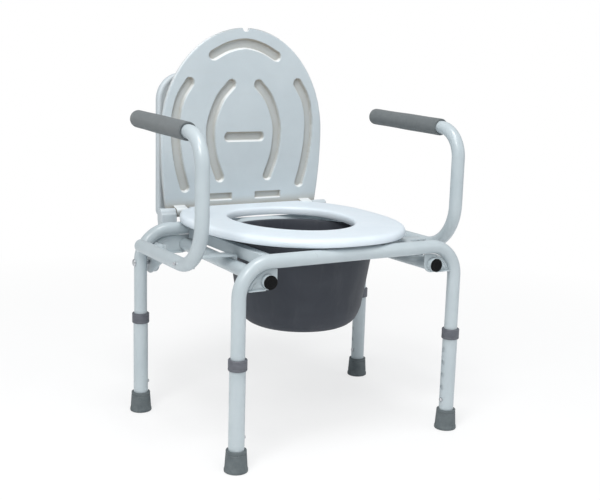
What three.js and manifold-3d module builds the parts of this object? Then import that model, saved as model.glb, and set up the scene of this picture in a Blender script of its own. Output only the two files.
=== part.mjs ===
// Commode chair with drop-down arms, height-adjustable legs, a hinged seat and lid, and a lift-out bucket.
//
// Frame: millimetres, +Z up, the chair faces -Y. Left and right in a piece's name are as seen from the front,
// so left is -X.
// The floor is z = 0. Every dimension below is in a working frame centred between the four feet. The whole
// group is then moved by ORIGIN_SHIFT_Y so that the origin is the centre of the overall footprint.

import * as THREE from 'three';
import { mergeVertices } from 'three/addons/utils/BufferGeometryUtils.js';
import Module from 'manifold-3d';

const wasm = await Module();
wasm.setup();

// ---------------------------------------------------------------- driving dimensions
const GAP = 0.3;                 // clearance between neighbouring pieces
const SIDES = 14;                // facets round a tube

const TUBE_R = 12.7;             // frame tube, 25.4 outside diameter
const TUBE_IN_R = 11.2;
const LEG_R = 14.3;              // sliding lower leg, 28.6 outside diameter
const LEG_IN_R = 13.35;

const LEG_X_FRONT = 232.0;       // half width over the front leg axes
const LEG_X_REAR = 263.5;        // half width over the rear leg axes
const LEG_Y = 179.3;             // front legs at -LEG_Y, rear legs at +LEG_Y
const CROSSBAR_Z = 368.3;        // axis of the two crossbars
const SHOULDER_R = 60;           // bend between a leg and a crossbar

const RAIL_X = 178.0;            // side rails, at their front ends
const RAIL_X_REAR = 165.0;       // the rails draw together towards the backrest posts
const RAIL_Z = 334.4;
const RAIL_FRONT_Y = -190.5;
const BACK_TUBE_Y = 295.0;       // rails turn up into the backrest posts here
const BACK_TUBE_TOP_Z = 630;
const BACK_BEND_R = 38;
const railX = (y) => RAIL_X + ((RAIL_X_REAR - RAIL_X) * (y - RAIL_FRONT_Y)) / (BACK_TUBE_Y - RAIL_FRONT_Y);
const RAIL_TURN = Math.atan((RAIL_X - RAIL_X_REAR) / (BACK_TUBE_Y - RAIL_FRONT_Y));

const HOLE_PITCH = 25.4;         // leg adjustment holes
const HOLE_Z0 = 59.5;            // lowest hole, in use at rest
const HOLE_COUNT = 5;
const BUTTON_R = 4.0;

const ARM_X = 274.4;             // plane of each arm
const ARM_POST_Y = -122.0;
const ARM_LOW_Z = 344.2;
const ARM_TOP_Z = 580.8;
const ARM_LOW_BEND_R = 90;
const ARM_TOP_BEND_R = 57;
const ARM_REAR_Y = 152;          // rear end of the lower bar
const GRIP_R = 17.0;
const GRIP_FRONT_Y = -64;
const GRIP_REAR_Y = 166;
const ARM_TOP_RISE = 6.5;        // the grip end is a little higher than its front
const PIVOT_Y = 179.3;           // arm pivot bolt, across the rear leg
const PIVOT_Z = 305.0;

const SEAT_TOP_Z = 400;
const SEAT_BOTTOM_Z = 384.2;
const HINGE_Y = 239.0;           // shared axis of seat and lid
const HINGE_Z = 390.0;
const HINGE_ROD_R = 4.0;

const LID_FRONT_Y = 250.0;       // underside of the raised lid
const LID_THICK = 9.5;
const LID_MAX_X = 190;
const LID_MID_Z = 545;
const LID_TOP_Z = 766;
const LID_BOTTOM_Z = 390;

const PANEL_FRONT_Y = 268.0;     // backrest panel
const PANEL_THICK = 14.0;
const PANEL_HALF = 189.0;
const PANEL_BOTTOM_Z = 373.5;
const PANEL_TOP_Z = 672;

const BUCKET_Y = 8.0;
const BUCKET_RIM_Z = 377.5;

const ORIGIN_SHIFT_Y = -55.15;    // centres the overall footprint on the origin

// ---------------------------------------------------------------- materials
const mat = (color, roughness, metalness = 0) => new THREE.MeshStandardMaterial({ color, roughness, metalness });
const PAINT = () => mat(0xd9e0e2, 0.38, 0.1);
const PLASTIC_WHITE = () => mat(0xdfe4e4, 0.42);
const FOAM = () => mat(0x6a7072, 0.92);
const BUCKET_MAT = () => mat(0x4a4c54, 0.55);
const RUBBER_GREY = () => mat(0x6b7072, 0.85);
const COLLAR_GREY = () => mat(0x7d7a80, 0.6);
const BLACK = () => mat(0x17181a, 0.5);
const STEEL = () => mat(0xb9bcc0, 0.3, 0.9);

// ---------------------------------------------------------------- solids
function weld(geometry) {
  const g = geometry.clone();
  g.deleteAttribute('normal');
  g.deleteAttribute('uv');
  return mergeVertices(g, 1e-3);
}

function solid(geometry) {
  const g = weld(geometry);
  const p = g.getAttribute('position');
  const vertProperties = new Float32Array(p.count * 3);
  for (let i = 0; i < p.count; i++) {
    vertProperties[3 * i] = p.getX(i);
    vertProperties[3 * i + 1] = p.getY(i);
    vertProperties[3 * i + 2] = p.getZ(i);
  }
  return new wasm.Manifold(new wasm.Mesh({ numProp: 3, vertProperties, triVerts: new Uint32Array(g.index.array) }));
}

function fromSolid(body) {
  const m = body.getMesh();
  const g = new THREE.BufferGeometry();
  const v = new Float32Array((m.vertProperties.length / m.numProp) * 3);
  for (let i = 0; i < v.length / 3; i++) {
    for (let k = 0; k < 3; k++) v[3 * i + k] = m.vertProperties[m.numProp * i + k];
  }
  g.setAttribute('position', new THREE.BufferAttribute(v, 3));
  g.setIndex(new THREE.BufferAttribute(new Uint32Array(m.triVerts), 1));
  g.computeVertexNormals();
  return g;
}

// ---------------------------------------------------------------- shape helpers
const V = (x, y, z) => new THREE.Vector3(x, y, z);

function polygon(radius, sides = SIDES, cx = 0, cy = 0, turn = 0) {
  const pts = [];
  for (let i = 0; i < sides; i++) {
    const a = (2 * Math.PI * i) / sides + turn;
    pts.push(new THREE.Vector2(cx + radius * Math.cos(a), cy + radius * Math.sin(a)));
  }
  return pts;
}

function ringShape(outer, inner, sides = SIDES) {
  const s = new THREE.Shape(polygon(outer, sides));
  if (inner > 0) s.holes.push(new THREE.Path(polygon(inner, sides)));
  return s;
}

// A tube axis made of straight runs and circular bends, with one station at each end of a straight run
// and evenly spaced stations round a bend.
class StationPath extends THREE.Curve {
  constructor(corners, bends, perQuarter = 5) {
    super();
    this.stations = [];
    const add = (p, t) => this.stations.push({ p: p.clone(), t: t.clone().normalize() });
    const n = corners.length;
    add(corners[0], corners[1].clone().sub(corners[0]));
    for (let i = 1; i < n - 1; i++) {
      const a = corners[i].clone().sub(corners[i - 1]).normalize();
      const b = corners[i + 1].clone().sub(corners[i]).normalize();
      const turn = a.angleTo(b);
      const r = bends[i - 1];
      const back = r * Math.tan(turn / 2);
      const start = corners[i].clone().addScaledVector(a, -back);
      const toCentre = b.clone().addScaledVector(a, -a.dot(b)).normalize();
      const centre = start.clone().addScaledVector(toCentre, r);
      const steps = Math.max(1, Math.round((turn / (Math.PI / 2)) * perQuarter));
      for (let k = 0; k <= steps; k++) {
        const w = (turn * k) / steps;
        const p = centre.clone().addScaledVector(toCentre, -r * Math.cos(w)).addScaledVector(a, r * Math.sin(w));
        const t = a.clone().multiplyScalar(Math.cos(w)).addScaledVector(toCentre, Math.sin(w));
        add(p, t);
      }
    }
    add(corners[n - 1], corners[n - 1].clone().sub(corners[n - 2]));
    this.steps = this.stations.length - 1;
  }
  at(u) { return this.stations[Math.min(this.steps, Math.max(0, Math.round(u * this.steps)))]; }
  getPoint(u, target = new THREE.Vector3()) { return target.copy(this.at(u).p); }
  getPointAt(u, target = new THREE.Vector3()) { return target.copy(this.at(u).p); }
  getTangent(u, target = new THREE.Vector3()) { return target.copy(this.at(u).t); }
  getTangentAt(u, target = new THREE.Vector3()) { return target.copy(this.at(u).t); }
}

function sweep(corners, bends, outer, inner, perQuarter = 5, sides = SIDES) {
  const path = new StationPath(corners, bends, perQuarter);
  return new THREE.ExtrudeGeometry(ringShape(outer, inner, sides), { steps: path.steps, extrudePath: path });
}

// A round bar between two points.
function rod(a, b, radius, sides = 12) {
  const len = a.distanceTo(b);
  const g = new THREE.CylinderGeometry(radius, radius, len, sides, 1);
  const q = new THREE.Quaternion().setFromUnitVectors(V(0, 1, 0), b.clone().sub(a).normalize());
  g.applyQuaternion(q);
  const m = a.clone().add(b).multiplyScalar(0.5);
  g.translate(m.x, m.y, m.z);
  return g;
}

// Turned parts: profile of [radius, z] pairs about a vertical axis.
function lathe(profile, sides = SIDES) {
  const g = new THREE.LatheGeometry(profile.map(([r, z]) => new THREE.Vector2(r, z)), sides);
  g.applyMatrix4(new THREE.Matrix4().makeBasis(V(1, 0, 0), V(0, 0, 1), V(0, -1, 0)));
  return g;
}

// The same, with the axis along +X or +Y: profile of [radius, distance along the axis].
const alongX = (g) => g.applyMatrix4(new THREE.Matrix4().makeBasis(V(0, 1, 0), V(0, 0, 1), V(1, 0, 0)));
const alongY = (g) => g.applyMatrix4(new THREE.Matrix4().makeBasis(V(0, 0, 1), V(1, 0, 0), V(0, 1, 0)));

// Plates. platePoints are in the plane named, and the plate fills lo to hi along the other axis.
function plateXZ(shape, yLo, yHi, options = {}) {
  const g = new THREE.ExtrudeGeometry(shape, { depth: yHi - yLo, bevelEnabled: false, steps: 1, curveSegments: 8, ...options });
  g.rotateX(Math.PI / 2);
  g.translate(0, yHi, 0);
  return g;
}
function plateYZ(shape, xLo, xHi, options = {}) {
  const g = new THREE.ExtrudeGeometry(shape, { depth: xHi - xLo, bevelEnabled: false, steps: 1, curveSegments: 8, ...options });
  g.applyMatrix4(new THREE.Matrix4().makeBasis(V(0, 1, 0), V(0, 0, 1), V(1, 0, 0)));
  g.translate(xLo, 0, 0);
  return g;
}
function plateXY(shape, zLo, zHi, options = {}) {
  const g = new THREE.ExtrudeGeometry(shape, { depth: zHi - zLo, bevelEnabled: false, steps: 1, curveSegments: 8, ...options });
  g.translate(0, 0, zLo);
  return g;
}

const pts = (list) => list.map(([a, b]) => new THREE.Vector2(a, b));

function arcPoints(cx, cy, r, from, to, n) {
  const out = [];
  for (let i = 0; i <= n; i++) {
    const a = from + ((to - from) * i) / n;
    out.push([cx + r * Math.cos(a), cy + r * Math.sin(a)]);
  }
  return out;
}

// ---------------------------------------------------------------- the group
const group = new THREE.Group();
const chair = new THREE.Group();
chair.position.y = ORIGIN_SHIFT_Y;
group.add(chair);

function part(name, geometry, material) {
  const mesh = new THREE.Mesh(geometry, material);
  mesh.name = name;
  chair.add(mesh);
  return mesh;
}
const side = (s) => (s < 0 ? 'left' : 'right');

// ---------------------------------------------------------------- front and rear frames
// Each is one tube bent into an upside-down U. Its legs end inside the sliding lower legs.
const FRAME_END_Z = 46;
const buttonDir = (s) => -s;     // the snap buttons face the middle of the chair

function bentFrame(x, y) {
  const corners = [V(-x, y, FRAME_END_Z), V(-x, y, CROSSBAR_Z), V(x, y, CROSSBAR_Z), V(x, y, FRAME_END_Z)];
  let body = solid(sweep(corners, [SHOULDER_R, SHOULDER_R], TUBE_R, TUBE_IN_R));
  for (const s of [-1, 1]) {
    const hole = rod(V(s * x, y, HOLE_Z0), V(s * x + buttonDir(s) * 20, y, HOLE_Z0), BUTTON_R + 0.5, 10);
    body = body.subtract(solid(hole));
    if (y > 0) {
      // the arm pivot bolt crosses the rear legs
      body = body.subtract(solid(rod(V(s * (x - 20), y, PIVOT_Z), V(s * (x + 20), y, PIVOT_Z), 4.4, 10)));
    }
  }
  return fromSolid(body);
}
part('front_frame_tube', bentFrame(LEG_X_FRONT, -LEG_Y), PAINT());
part('rear_frame_tube', bentFrame(LEG_X_REAR, LEG_Y), PAINT());

// ---------------------------------------------------------------- side rails, which turn up into the backrest posts
const SCREW_Z = [430, 600];
for (const s of [-1, 1]) {
  const corners = [V(s * RAIL_X, RAIL_FRONT_Y, RAIL_Z), V(s * RAIL_X_REAR, BACK_TUBE_Y, RAIL_Z), V(s * RAIL_X_REAR, BACK_TUBE_Y, BACK_TUBE_TOP_Z)];
  let body = solid(sweep(corners, [BACK_BEND_R], TUBE_R, TUBE_IN_R));
  for (const z of SCREW_Z) {
    body = body.subtract(solid(rod(V(s * RAIL_X_REAR, BACK_TUBE_Y - 20, z), V(s * RAIL_X_REAR, BACK_TUBE_Y + 20, z), 2.8, 8)));
  }
  part(`${side(s)}_side_rail`, fromSolid(body), PAINT());

  // black push-in plug in the front end of the rail
  const plug = lathe([[0, -13], [10.6, -13], [10.6, 0.3], [12.5, 0.3], [12.5, 2.4], [11.4, 4.2], [0, 4.2]]);
  alongY(plug);
  plug.rotateZ(Math.PI + s * RAIL_TURN);
  plug.translate(s * RAIL_X, RAIL_FRONT_Y, RAIL_Z);
  part(`${side(s)}_rail_plug`, plug, BLACK());

  // plug in the top of the backrest post
  const top = lathe([[0, -13], [10.6, -13], [10.6, 0.3], [12.5, 0.3], [12.5, 2.2], [10.8, 4.0], [0, 4.6]]);
  top.translate(s * RAIL_X_REAR, BACK_TUBE_Y, BACK_TUBE_TOP_Z);
  part(`${side(s)}_post_plug`, top, BLACK());
}

// ---------------------------------------------------------------- corner gussets
// A pressed plate fills each corner of the U and carries the side rail through a hole.
function gusset(s, legX, y) {
  const cx = legX - SHOULDER_R;                     // bend centre, for the +X side
  const cz = CROSSBAR_Z - SHOULDER_R;
  const r = SHOULDER_R - TUBE_R - 0.8;
  const rx = railX(y);
  const right = rx - 19.2;                          // inner vertical edge
  const low = 319.0;                                // lower edge
  const start = Math.asin((low - cz) / r);
  const arc = arcPoints(cx, cz, r, start, Math.PI / 2, 8);
  const outline = [
    ...arc,
    ...(cx > right + 1 ? [[right, cz + r]] : []),
    [right, 345],
    ...arcPoints(rx - 2.2, RAIL_Z + 1.6, 17.0, Math.PI, 1.5 * Math.PI, 5),
  ];
  const shape = new THREE.Shape(pts(outline.map(([x, z]) => [s * x, z])));
  const plate = solid(plateXZ(shape, y - 1.4, y + 1.4));
  // a pressed lip folds forward along the lower edge and stiffens the plate
  const lipX = cx + r * Math.cos(start) - 1.5;
  const lip = new THREE.Shape(pts([[s * lipX, low], [s * (rx + 6), low], [s * (rx + 6), low + 2.2], [s * lipX, low + 2.2]]));
  const lipBody = solid(plateXZ(lip, y - 6.5, y + 1.0));
  const bore = solid(rod(V(s * railX(y - 20), y - 20, RAIL_Z), V(s * railX(y + 20), y + 20, RAIL_Z), TUBE_R + 0.55, 16));
  let body = plate.add(lipBody).subtract(bore);
  if (y > 0) body = body.subtract(solid(rod(V(s * 226, PIVOT_Y, PIVOT_Z), V(s * 256, PIVOT_Y, PIVOT_Z), 24.5, 16)));
  return fromSolid(body);
}
for (const s of [-1, 1]) {
  part(`${side(s)}_front_gusset`, gusset(s, LEG_X_FRONT, -LEG_Y), PAINT());
  part(`${side(s)}_rear_gusset`, gusset(s, LEG_X_REAR, LEG_Y), PAINT());
}

// ---------------------------------------------------------------- sliding legs
const legs = [
  ['front_left', -1, LEG_X_FRONT, -LEG_Y],
  ['front_right', 1, LEG_X_FRONT, -LEG_Y],
  ['rear_left', -1, LEG_X_REAR, LEG_Y],
  ['rear_right', 1, LEG_X_REAR, LEG_Y],
];
const LEG_TOP_Z = 186;
const LEG_BOTTOM_Z = 3.4;
for (const [name, s, x, y] of legs) {
  let tube = solid(sweep([V(s * x, y, LEG_BOTTOM_Z), V(s * x, y, LEG_TOP_Z)], [], LEG_R, LEG_IN_R));
  for (let i = 0; i < HOLE_COUNT; i++) {
    const z = HOLE_Z0 + i * HOLE_PITCH;
    tube = tube.subtract(solid(rod(V(s * x, y, z), V(s * x + buttonDir(s) * 22, y, z), BUTTON_R + 0.5, 8)));
  }
  part(`${name}_leg_tube`, fromSolid(tube), PAINT());

  // grey collar that guides the frame tube at the mouth of the sliding leg
  const collar = lathe([
    [13.3, 203.2], [13.3, 186.4], [14.85, 186.4], [14.85, 183.2], [16.0, 183.2], [16.9, 184.6], [16.9, 200.6], [15.4, 203.2], [13.3, 203.2],
  ]);
  collar.translate(s * x, y, 0);
  part(`${name}_leg_collar`, collar, COLLAR_GREY());

  // rubber ferrule
  const tip = lathe([
    [0, 0], [20.6, 0], [21.4, 1.6], [20.9, 6.5], [18.6, 34], [17.4, 40], [14.85, 40], [14.85, 3.0], [0, 3.0],
  ]);
  tip.translate(s * x, y, 0);
  part(`${name}_foot_tip`, tip, RUBBER_GREY());

  // spring button: a domed pin on a leaf inside the frame tube
  const d = buttonDir(s);
  const pin = lathe([[0, -4.6], [BUTTON_R - 0.1, -4.6], [BUTTON_R - 0.1, 4.2], [2.9, 6.0], [0, 6.8]], 10);
  alongX(pin);
  if (d < 0) pin.rotateZ(Math.PI);
  pin.translate(s * x + d * 10.8, y, HOLE_Z0);
  const leaf = new THREE.BoxGeometry(1.2, 6.4, 44);
  leaf.translate(s * x + d * 6.6, y, HOLE_Z0 + 16);
  part(`${name}_snap_button`, fromSolid(solid(pin).add(solid(leaf))), STEEL());
}

// ---------------------------------------------------------------- drop-down arms
for (const s of [-1, 1]) {
  const n = side(s);
  const X = s * ARM_X;
  const corners = [
    V(X, ARM_REAR_Y, ARM_LOW_Z),
    V(X, ARM_POST_Y, ARM_LOW_Z),
    V(X, ARM_POST_Y, ARM_TOP_Z - 0.6),
    V(X, GRIP_REAR_Y - 4, ARM_TOP_Z + ARM_TOP_RISE),
  ];
  let arm = solid(sweep(corners, [ARM_LOW_BEND_R, ARM_TOP_BEND_R], TUBE_R, TUBE_IN_R));
  // pivot ear on the inner side of the rear leg, joined to the lower bar by a short cross piece
  const ear = new THREE.Shape(pts([
    [100, ARM_LOW_Z + 7.8], [148, ARM_LOW_Z + 4.8],
    ...arcPoints(PIVOT_Y, PIVOT_Z, 22.5, 1.745, -2.18, 12),
    [104, 322], [97, 332],
  ]));
  const earIn = 242.2, earOut = 245.8;
  arm = arm.add(solid(plateYZ(ear, s > 0 ? earIn : -earOut, s > 0 ? earOut : -earIn)));
  arm = arm.add(solid(rod(V(s * 244, 118, 342), V(s * 263.5, 118, 342), 9, 12)));
  arm = arm.subtract(solid(rod(V(s * 236, PIVOT_Y, PIVOT_Z), V(s * 250, PIVOT_Y, PIVOT_Z), 4.5, 12)));
  // bore for the release button
  arm = arm.subtract(solid(rod(V(s * (ARM_X - 25), -41, ARM_LOW_Z + 3), V(s * (ARM_X + 25), -41, ARM_LOW_Z + 3), 3.3, 12)));
  part(`${n}_arm_tube`, fromSolid(arm), PAINT());

  // foam grip: a closed-end sleeve over the top bar
  const a = V(X, GRIP_FRONT_Y, 0), b = V(X, GRIP_REAR_Y, 0);
  const slope = (ARM_TOP_RISE + 0.6) / (GRIP_REAR_Y - 4 - ARM_POST_Y);
  const zAt = (y) => ARM_TOP_Z - 0.6 + slope * (y - ARM_POST_Y);
  a.z = zAt(GRIP_FRONT_Y); b.z = zAt(GRIP_REAR_Y);
  const len = a.distanceTo(b);
  const bore = TUBE_R + 0.55;
  const sleeve = lathe([[bore, 0], [GRIP_R - 1.2, 0], [GRIP_R, 1.4], [GRIP_R, len - 3.6], [GRIP_R - 3.6, len], [0, len], [0, len - 3.4], [bore, len - 3.4], [bore, 0]], 20);
  sleeve.applyQuaternion(new THREE.Quaternion().setFromUnitVectors(V(0, 0, 1), b.clone().sub(a).normalize()));
  sleeve.translate(a.x, a.y, a.z);
  part(`${n}_arm_grip`, sleeve, FOAM());

  // release button through the lower bar
  const press = lathe([[0, -21.6], [2.1, -21.6], [2.8, -20.8], [2.8, 16.2], [2.1, 17.0], [0, 17.2]], 12);
  alongX(press);
  if (s < 0) press.rotateZ(Math.PI);
  press.translate(X, -41, ARM_LOW_Z + 3);
  part(`${n}_arm_release_button`, press, STEEL());

  // latch plate: a bent strip welded on the side rail. Its outer leg has a slot, open downwards, so the
  // button tip leaves it as the arm drops
  const latch = new THREE.Shape(pts([
    [256.6, 336], [256.6, 357], [172.3, 357], [172.3, 347.5], [174.9, 347.5], [174.9, 354.4], [253.8, 354.4], [253.8, 336],
  ].map(([x, z]) => [s * x, z])));
  let latchBody = solid(plateXZ(latch, -57, -26));
  const latchSlot = new THREE.BoxGeometry(10, 14.5, 17);
  latchSlot.translate(s * 255.2, -42.75, 343.5);
  latchBody = latchBody.subtract(solid(latchSlot));
  part(`${n}_arm_latch_plate`, fromSolid(latchBody), PAINT());

  // dished pivot hub, against the inner face of the ear
  const hub = lathe([
    [4.5, 0.3], [19, 0.3], [20.6, 1.8], [20.6, 9.5], [19.2, 11.2], [16, 11.2], [13, 8.6], [8.2, 8.6], [7.6, 13.8], [4.5, 13.8], [4.5, 0.3],
  ], 20);
  alongX(hub);
  if (s > 0) hub.rotateZ(Math.PI);
  hub.translate(s * earIn, PIVOT_Y, PIVOT_Z);
  part(`${n}_arm_pivot_hub`, hub, PAINT());

  // pivot bolt, from outside the leg through the leg, the ear and the hub, with a lock nut inside
  const bolt = lathe([[0, -56], [3.6, -56], [4.0, -55.2], [4.0, 0], [7.2, 0], [7.2, 1.2], [5.6, 2.6], [0, 3.0]], 16);
  alongX(bolt);
  if (s < 0) bolt.rotateZ(Math.PI);
  bolt.translate(s * (LEG_X_REAR + TUBE_R + GAP), PIVOT_Y, PIVOT_Z);
  part(`${n}_arm_pivot_bolt`, bolt, STEEL());

  const nutX = earIn - 13.8 - GAP;
  const nut = lathe([[4.8, 0], [7.8, 0], [7.8, 4.8], [6.4, 6.2], [4.8, 6.2], [4.8, 0]], 6);
  alongX(nut);
  if (s > 0) nut.rotateZ(Math.PI);
  nut.translate(s * nutX, PIVOT_Y, PIVOT_Z);
  part(`${n}_arm_pivot_nut`, nut, STEEL());
}

// ---------------------------------------------------------------- bucket and its supports
const wallR = (z) => 124.0 + 0.161 * (z - 248.6);
{
  const t = 2.6;
  const profile = [[0, 199.6], [84, 199.6], [97, 202.4], [108, 209.5], [115.6, 219.5], [119.6, 230]];
  profile.push([wallR(371.2), 371.2], [154.5, 371.2], [154.5, 376], [152.8, BUCKET_RIM_Z], [wallR(BUCKET_RIM_Z) - t, BUCKET_RIM_Z]);
  profile.push([119.6 - t, 231], [113.4, 221], [106.4, 211.6], [96.2, 205], [84, 202.2], [0, 202.2]);
  const bucket = lathe(profile, 28);
  bucket.translate(0, BUCKET_Y, 0);
  part('bucket', bucket, BUCKET_MAT());
}
for (const s of [-1, 1]) {
  // angle strip between the crossbars: the bucket's rim rests on it
  const section = pts([[s * 147.6, 368.2], [s * 163.6, 368.2], [s * 163.6, 349.6], [s * 166.0, 349.6], [s * 166.0, 370.8], [s * 147.6, 370.8]]);
  const strip = plateXZ(new THREE.Shape(section), -LEG_Y + TUBE_R + GAP, LEG_Y - TUBE_R - GAP);
  part(`${side(s)}_bucket_support`, strip, PAINT());
}

// ---------------------------------------------------------------- seat
const BUMPERS = [[-62, 4 - LEG_Y], [62, 4 - LEG_Y], [-150, LEG_Y], [150, LEG_Y]];   // on the crossbars

function seatOutline(inset = 0) {
  // half outline on the +X side, from the front middle round to the rear middle
  const half = [];
  const yw = 70, a = 201 - inset, bFront = 265 - inset, p = 2.4;
  for (let i = 0; i <= 11; i++) {
    const w = (Math.PI / 2) * (i / 11);
    half.push([a * Math.sin(w) ** (2 / p), yw - bFront * Math.cos(w) ** (2 / p)]);
  }
  const rear = [[199.5, 112], [191, 150], [179, 182], [167, 207], [155, 224], [144, 235], [134, 241], [126, 243]];
  for (const [x, y] of rear) half.push([x - inset * (x / 201), y - (y > 225 ? inset : inset * 0.4)]);
  const out = half.map(([x, y]) => [x, y]);
  const mirrored = half.slice().reverse().map(([x, y]) => [-x, y]).filter(([x]) => Math.abs(x) > 1e-6);
  return [...out, ...mirrored];
}
function seatHole(grow = 0, n = 30) {
  const out = [];
  const yc = 52;
  for (let i = 0; i < n; i++) {
    const w = (2 * Math.PI * i) / n;
    const rear = Math.sin(w) > 0;
    const e = rear ? 2 / 2.3 : 1;
    const b = rear ? 126 : -150;
    const c = Math.cos(w);
    out.push([(116 + grow) * Math.sign(c) * Math.abs(c) ** e, yc + (b + (rear ? grow : -grow)) * Math.abs(Math.sin(w)) ** e]);
  }
  return out;
}
{
  const shape = new THREE.Shape(pts(seatOutline(4)));
  shape.holes.push(new THREE.Path(pts(seatHole(3))));
  const top = solid(plateXY(shape, SEAT_BOTTOM_Z + 4, SEAT_TOP_Z - 4, { bevelEnabled: true, bevelThickness: 4, bevelSize: 3.6, bevelSegments: 1 }));
  // hollow underneath, leaving a 3.2 mm skin and rims
  const inner = new THREE.Shape(pts(seatOutline(13)));
  inner.holes.push(new THREE.Path(pts(seatHole(9))));
  let body = top.subtract(solid(plateXY(inner, SEAT_BOTTOM_Z - 5, SEAT_TOP_Z - 3.6)));
  // hinge barrel along the rear edge
  body = body.add(solid(rod(V(-131, HINGE_Y, HINGE_Z), V(131, HINGE_Y, HINGE_Z), 9.6, 16)));
  body = body.subtract(solid(rod(V(-210, HINGE_Y, HINGE_Z), V(210, HINGE_Y, HINGE_Z), HINGE_ROD_R + 0.3, 12)));
  // pads under the seat carry the four bumpers
  for (const [x, y] of BUMPERS) {
    body = body.add(solid(rod(V(x, y, SEAT_BOTTOM_Z), V(x, y, SEAT_TOP_Z - 2), 9, 12)));
  }
  // lid lugs pass outside the barrel, so the rear corners are cut back there
  for (const s of [-1, 1]) {
    const cut = new THREE.BoxGeometry(46, 40, 60);
    cut.translate(s * (132.6 + 23), HINGE_Y + 3.4, HINGE_Z);
    body = body.subtract(solid(cut));
  }
  part('seat_ring', fromSolid(body), PLASTIC_WHITE());

  const bumperNames = ['front_left', 'front_right', 'rear_left', 'rear_right'];
  BUMPERS.forEach(([x, y], i) => {
    const b = lathe([[0, 381.25], [6.2, 381.25], [7.2, 382.2], [7.2, 383.9], [0, 383.9]], 8);
    b.translate(x, y, 0);
    part(`${bumperNames[i]}_seat_bumper`, b, RUBBER_GREY());
  });
}

// ---------------------------------------------------------------- lid
// Raised at rest, its underside towards the user. Shallow pressed grooves follow its outline.
function lidHalf(z) {
  const dz = z - LID_MID_Z;
  const b = dz > 0 ? LID_TOP_Z - LID_MID_Z : 432;
  return LID_MAX_X * Math.sqrt(Math.max(0, 1 - (dz / b) ** 2));
}
function lidOutline() {
  const half = [[150, LID_BOTTOM_Z], [lidHalf(LID_BOTTOM_Z) - 9, LID_BOTTOM_Z], [lidHalf(LID_BOTTOM_Z) - 1, LID_BOTTOM_Z + 8]];
  for (const z of [430, 470, 510, 545]) half.push([lidHalf(z), z]);
  for (let i = 1; i <= 10; i++) {
    const w = (Math.PI / 2) * (i / 11);
    half.push([LID_MAX_X * Math.cos(w), LID_MID_Z + (LID_TOP_Z - LID_MID_Z) * Math.sin(w)]);
  }
  half.push([6.2, LID_TOP_Z - 0.2], [4.6, LID_TOP_Z - 6.2], [1.8, LID_TOP_Z - 8.0]);
  const left = half.slice().reverse().map(([x, z]) => [-x, z]);
  return [...half, ...left];
}
// a round-ended channel that follows a list of centre points
function channelShape(centre, r) {
  const curve = new THREE.CatmullRomCurve3(centre.map(([x, z]) => V(x, z, 0)), false, 'centripetal');
  const n = centre.length > 2 ? 6 : 1;
  const L = [], R = [];
  let first, last;
  for (let i = 0; i <= n; i++) {
    const p = curve.getPoint(i / n);
    const t = curve.getTangent(i / n);
    if (i === 0) first = { p, t };
    if (i === n) last = { p, t };
    L.push([p.x - t.y * r, p.y + t.x * r]);
    R.push([p.x + t.y * r, p.y - t.x * r]);
  }
  const cap = (e, sign) => {
    const a0 = Math.atan2(e.t.y, e.t.x) + (sign > 0 ? Math.PI / 2 : -Math.PI / 2);
    const out = [];
    for (let k = 1; k < 4; k++) {
      const a = a0 - (Math.PI * k) / 4;
      out.push([e.p.x + r * Math.cos(a), e.p.y + r * Math.sin(a)]);
    }
    return out;
  };
  return new THREE.Shape(pts([...L, ...cap(last, 1), ...R.reverse(), ...cap(first, -1)]));
}
{
  let body = solid(plateXZ(new THREE.Shape(pts(lidOutline())), LID_FRONT_Y, LID_FRONT_Y + LID_THICK));
  const depth = 6.4;
  const grooves = [
    [[[-74, 709], [-39, 726], [0, 733.5], [39, 726], [74, 709]], 10.5],
    [[[-37, 541], [37, 541]], 10.0],
  ];
  for (const s of [-1, 1]) {
    grooves.push([[[s * 127.5, 653], [s * 147, 622], [s * 157, 583], [s * 157, 535], [s * 149, 482], [s * 137, 439]], 10.5]);
    grooves.push([[[s * 32, 650], [s * 58, 620], [s * 76, 575], [s * 78.5, 540], [s * 72, 497], [s * 57, 457]], 10.5]);
  }
  for (const [line, r] of grooves) {
    body = body.subtract(solid(plateXZ(channelShape(line, r), LID_FRONT_Y - 2, LID_FRONT_Y + depth)));
  }
  for (const s of [-1, 1]) {
    // two recesses low on the lid, over the hinge
    const slot = new THREE.BoxGeometry(62, 11.2, 13);
    slot.translate(s * 59, LID_FRONT_Y, 415.5);
    body = body.subtract(solid(slot));
    // hinge lug
    const lug = new THREE.Shape(pts([
      ...arcPoints(HINGE_Y, HINGE_Z, 9.4, Math.PI * 0.5, Math.PI * 1.5, 8),
      [LID_FRONT_Y + 2, HINGE_Z - 9.4 + 7.6], [LID_FRONT_Y + 2, HINGE_Z + 13],
    ]));
    const x0 = 137, x1 = 163;
    body = body.add(solid(plateYZ(lug, s > 0 ? x0 : -x1, s > 0 ? x1 : -x0)));
  }
  body = body.subtract(solid(rod(V(-210, HINGE_Y, HINGE_Z), V(210, HINGE_Y, HINGE_Z), HINGE_ROD_R + 0.3, 12)));
  part('lid', fromSolid(body), PLASTIC_WHITE());
}

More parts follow.
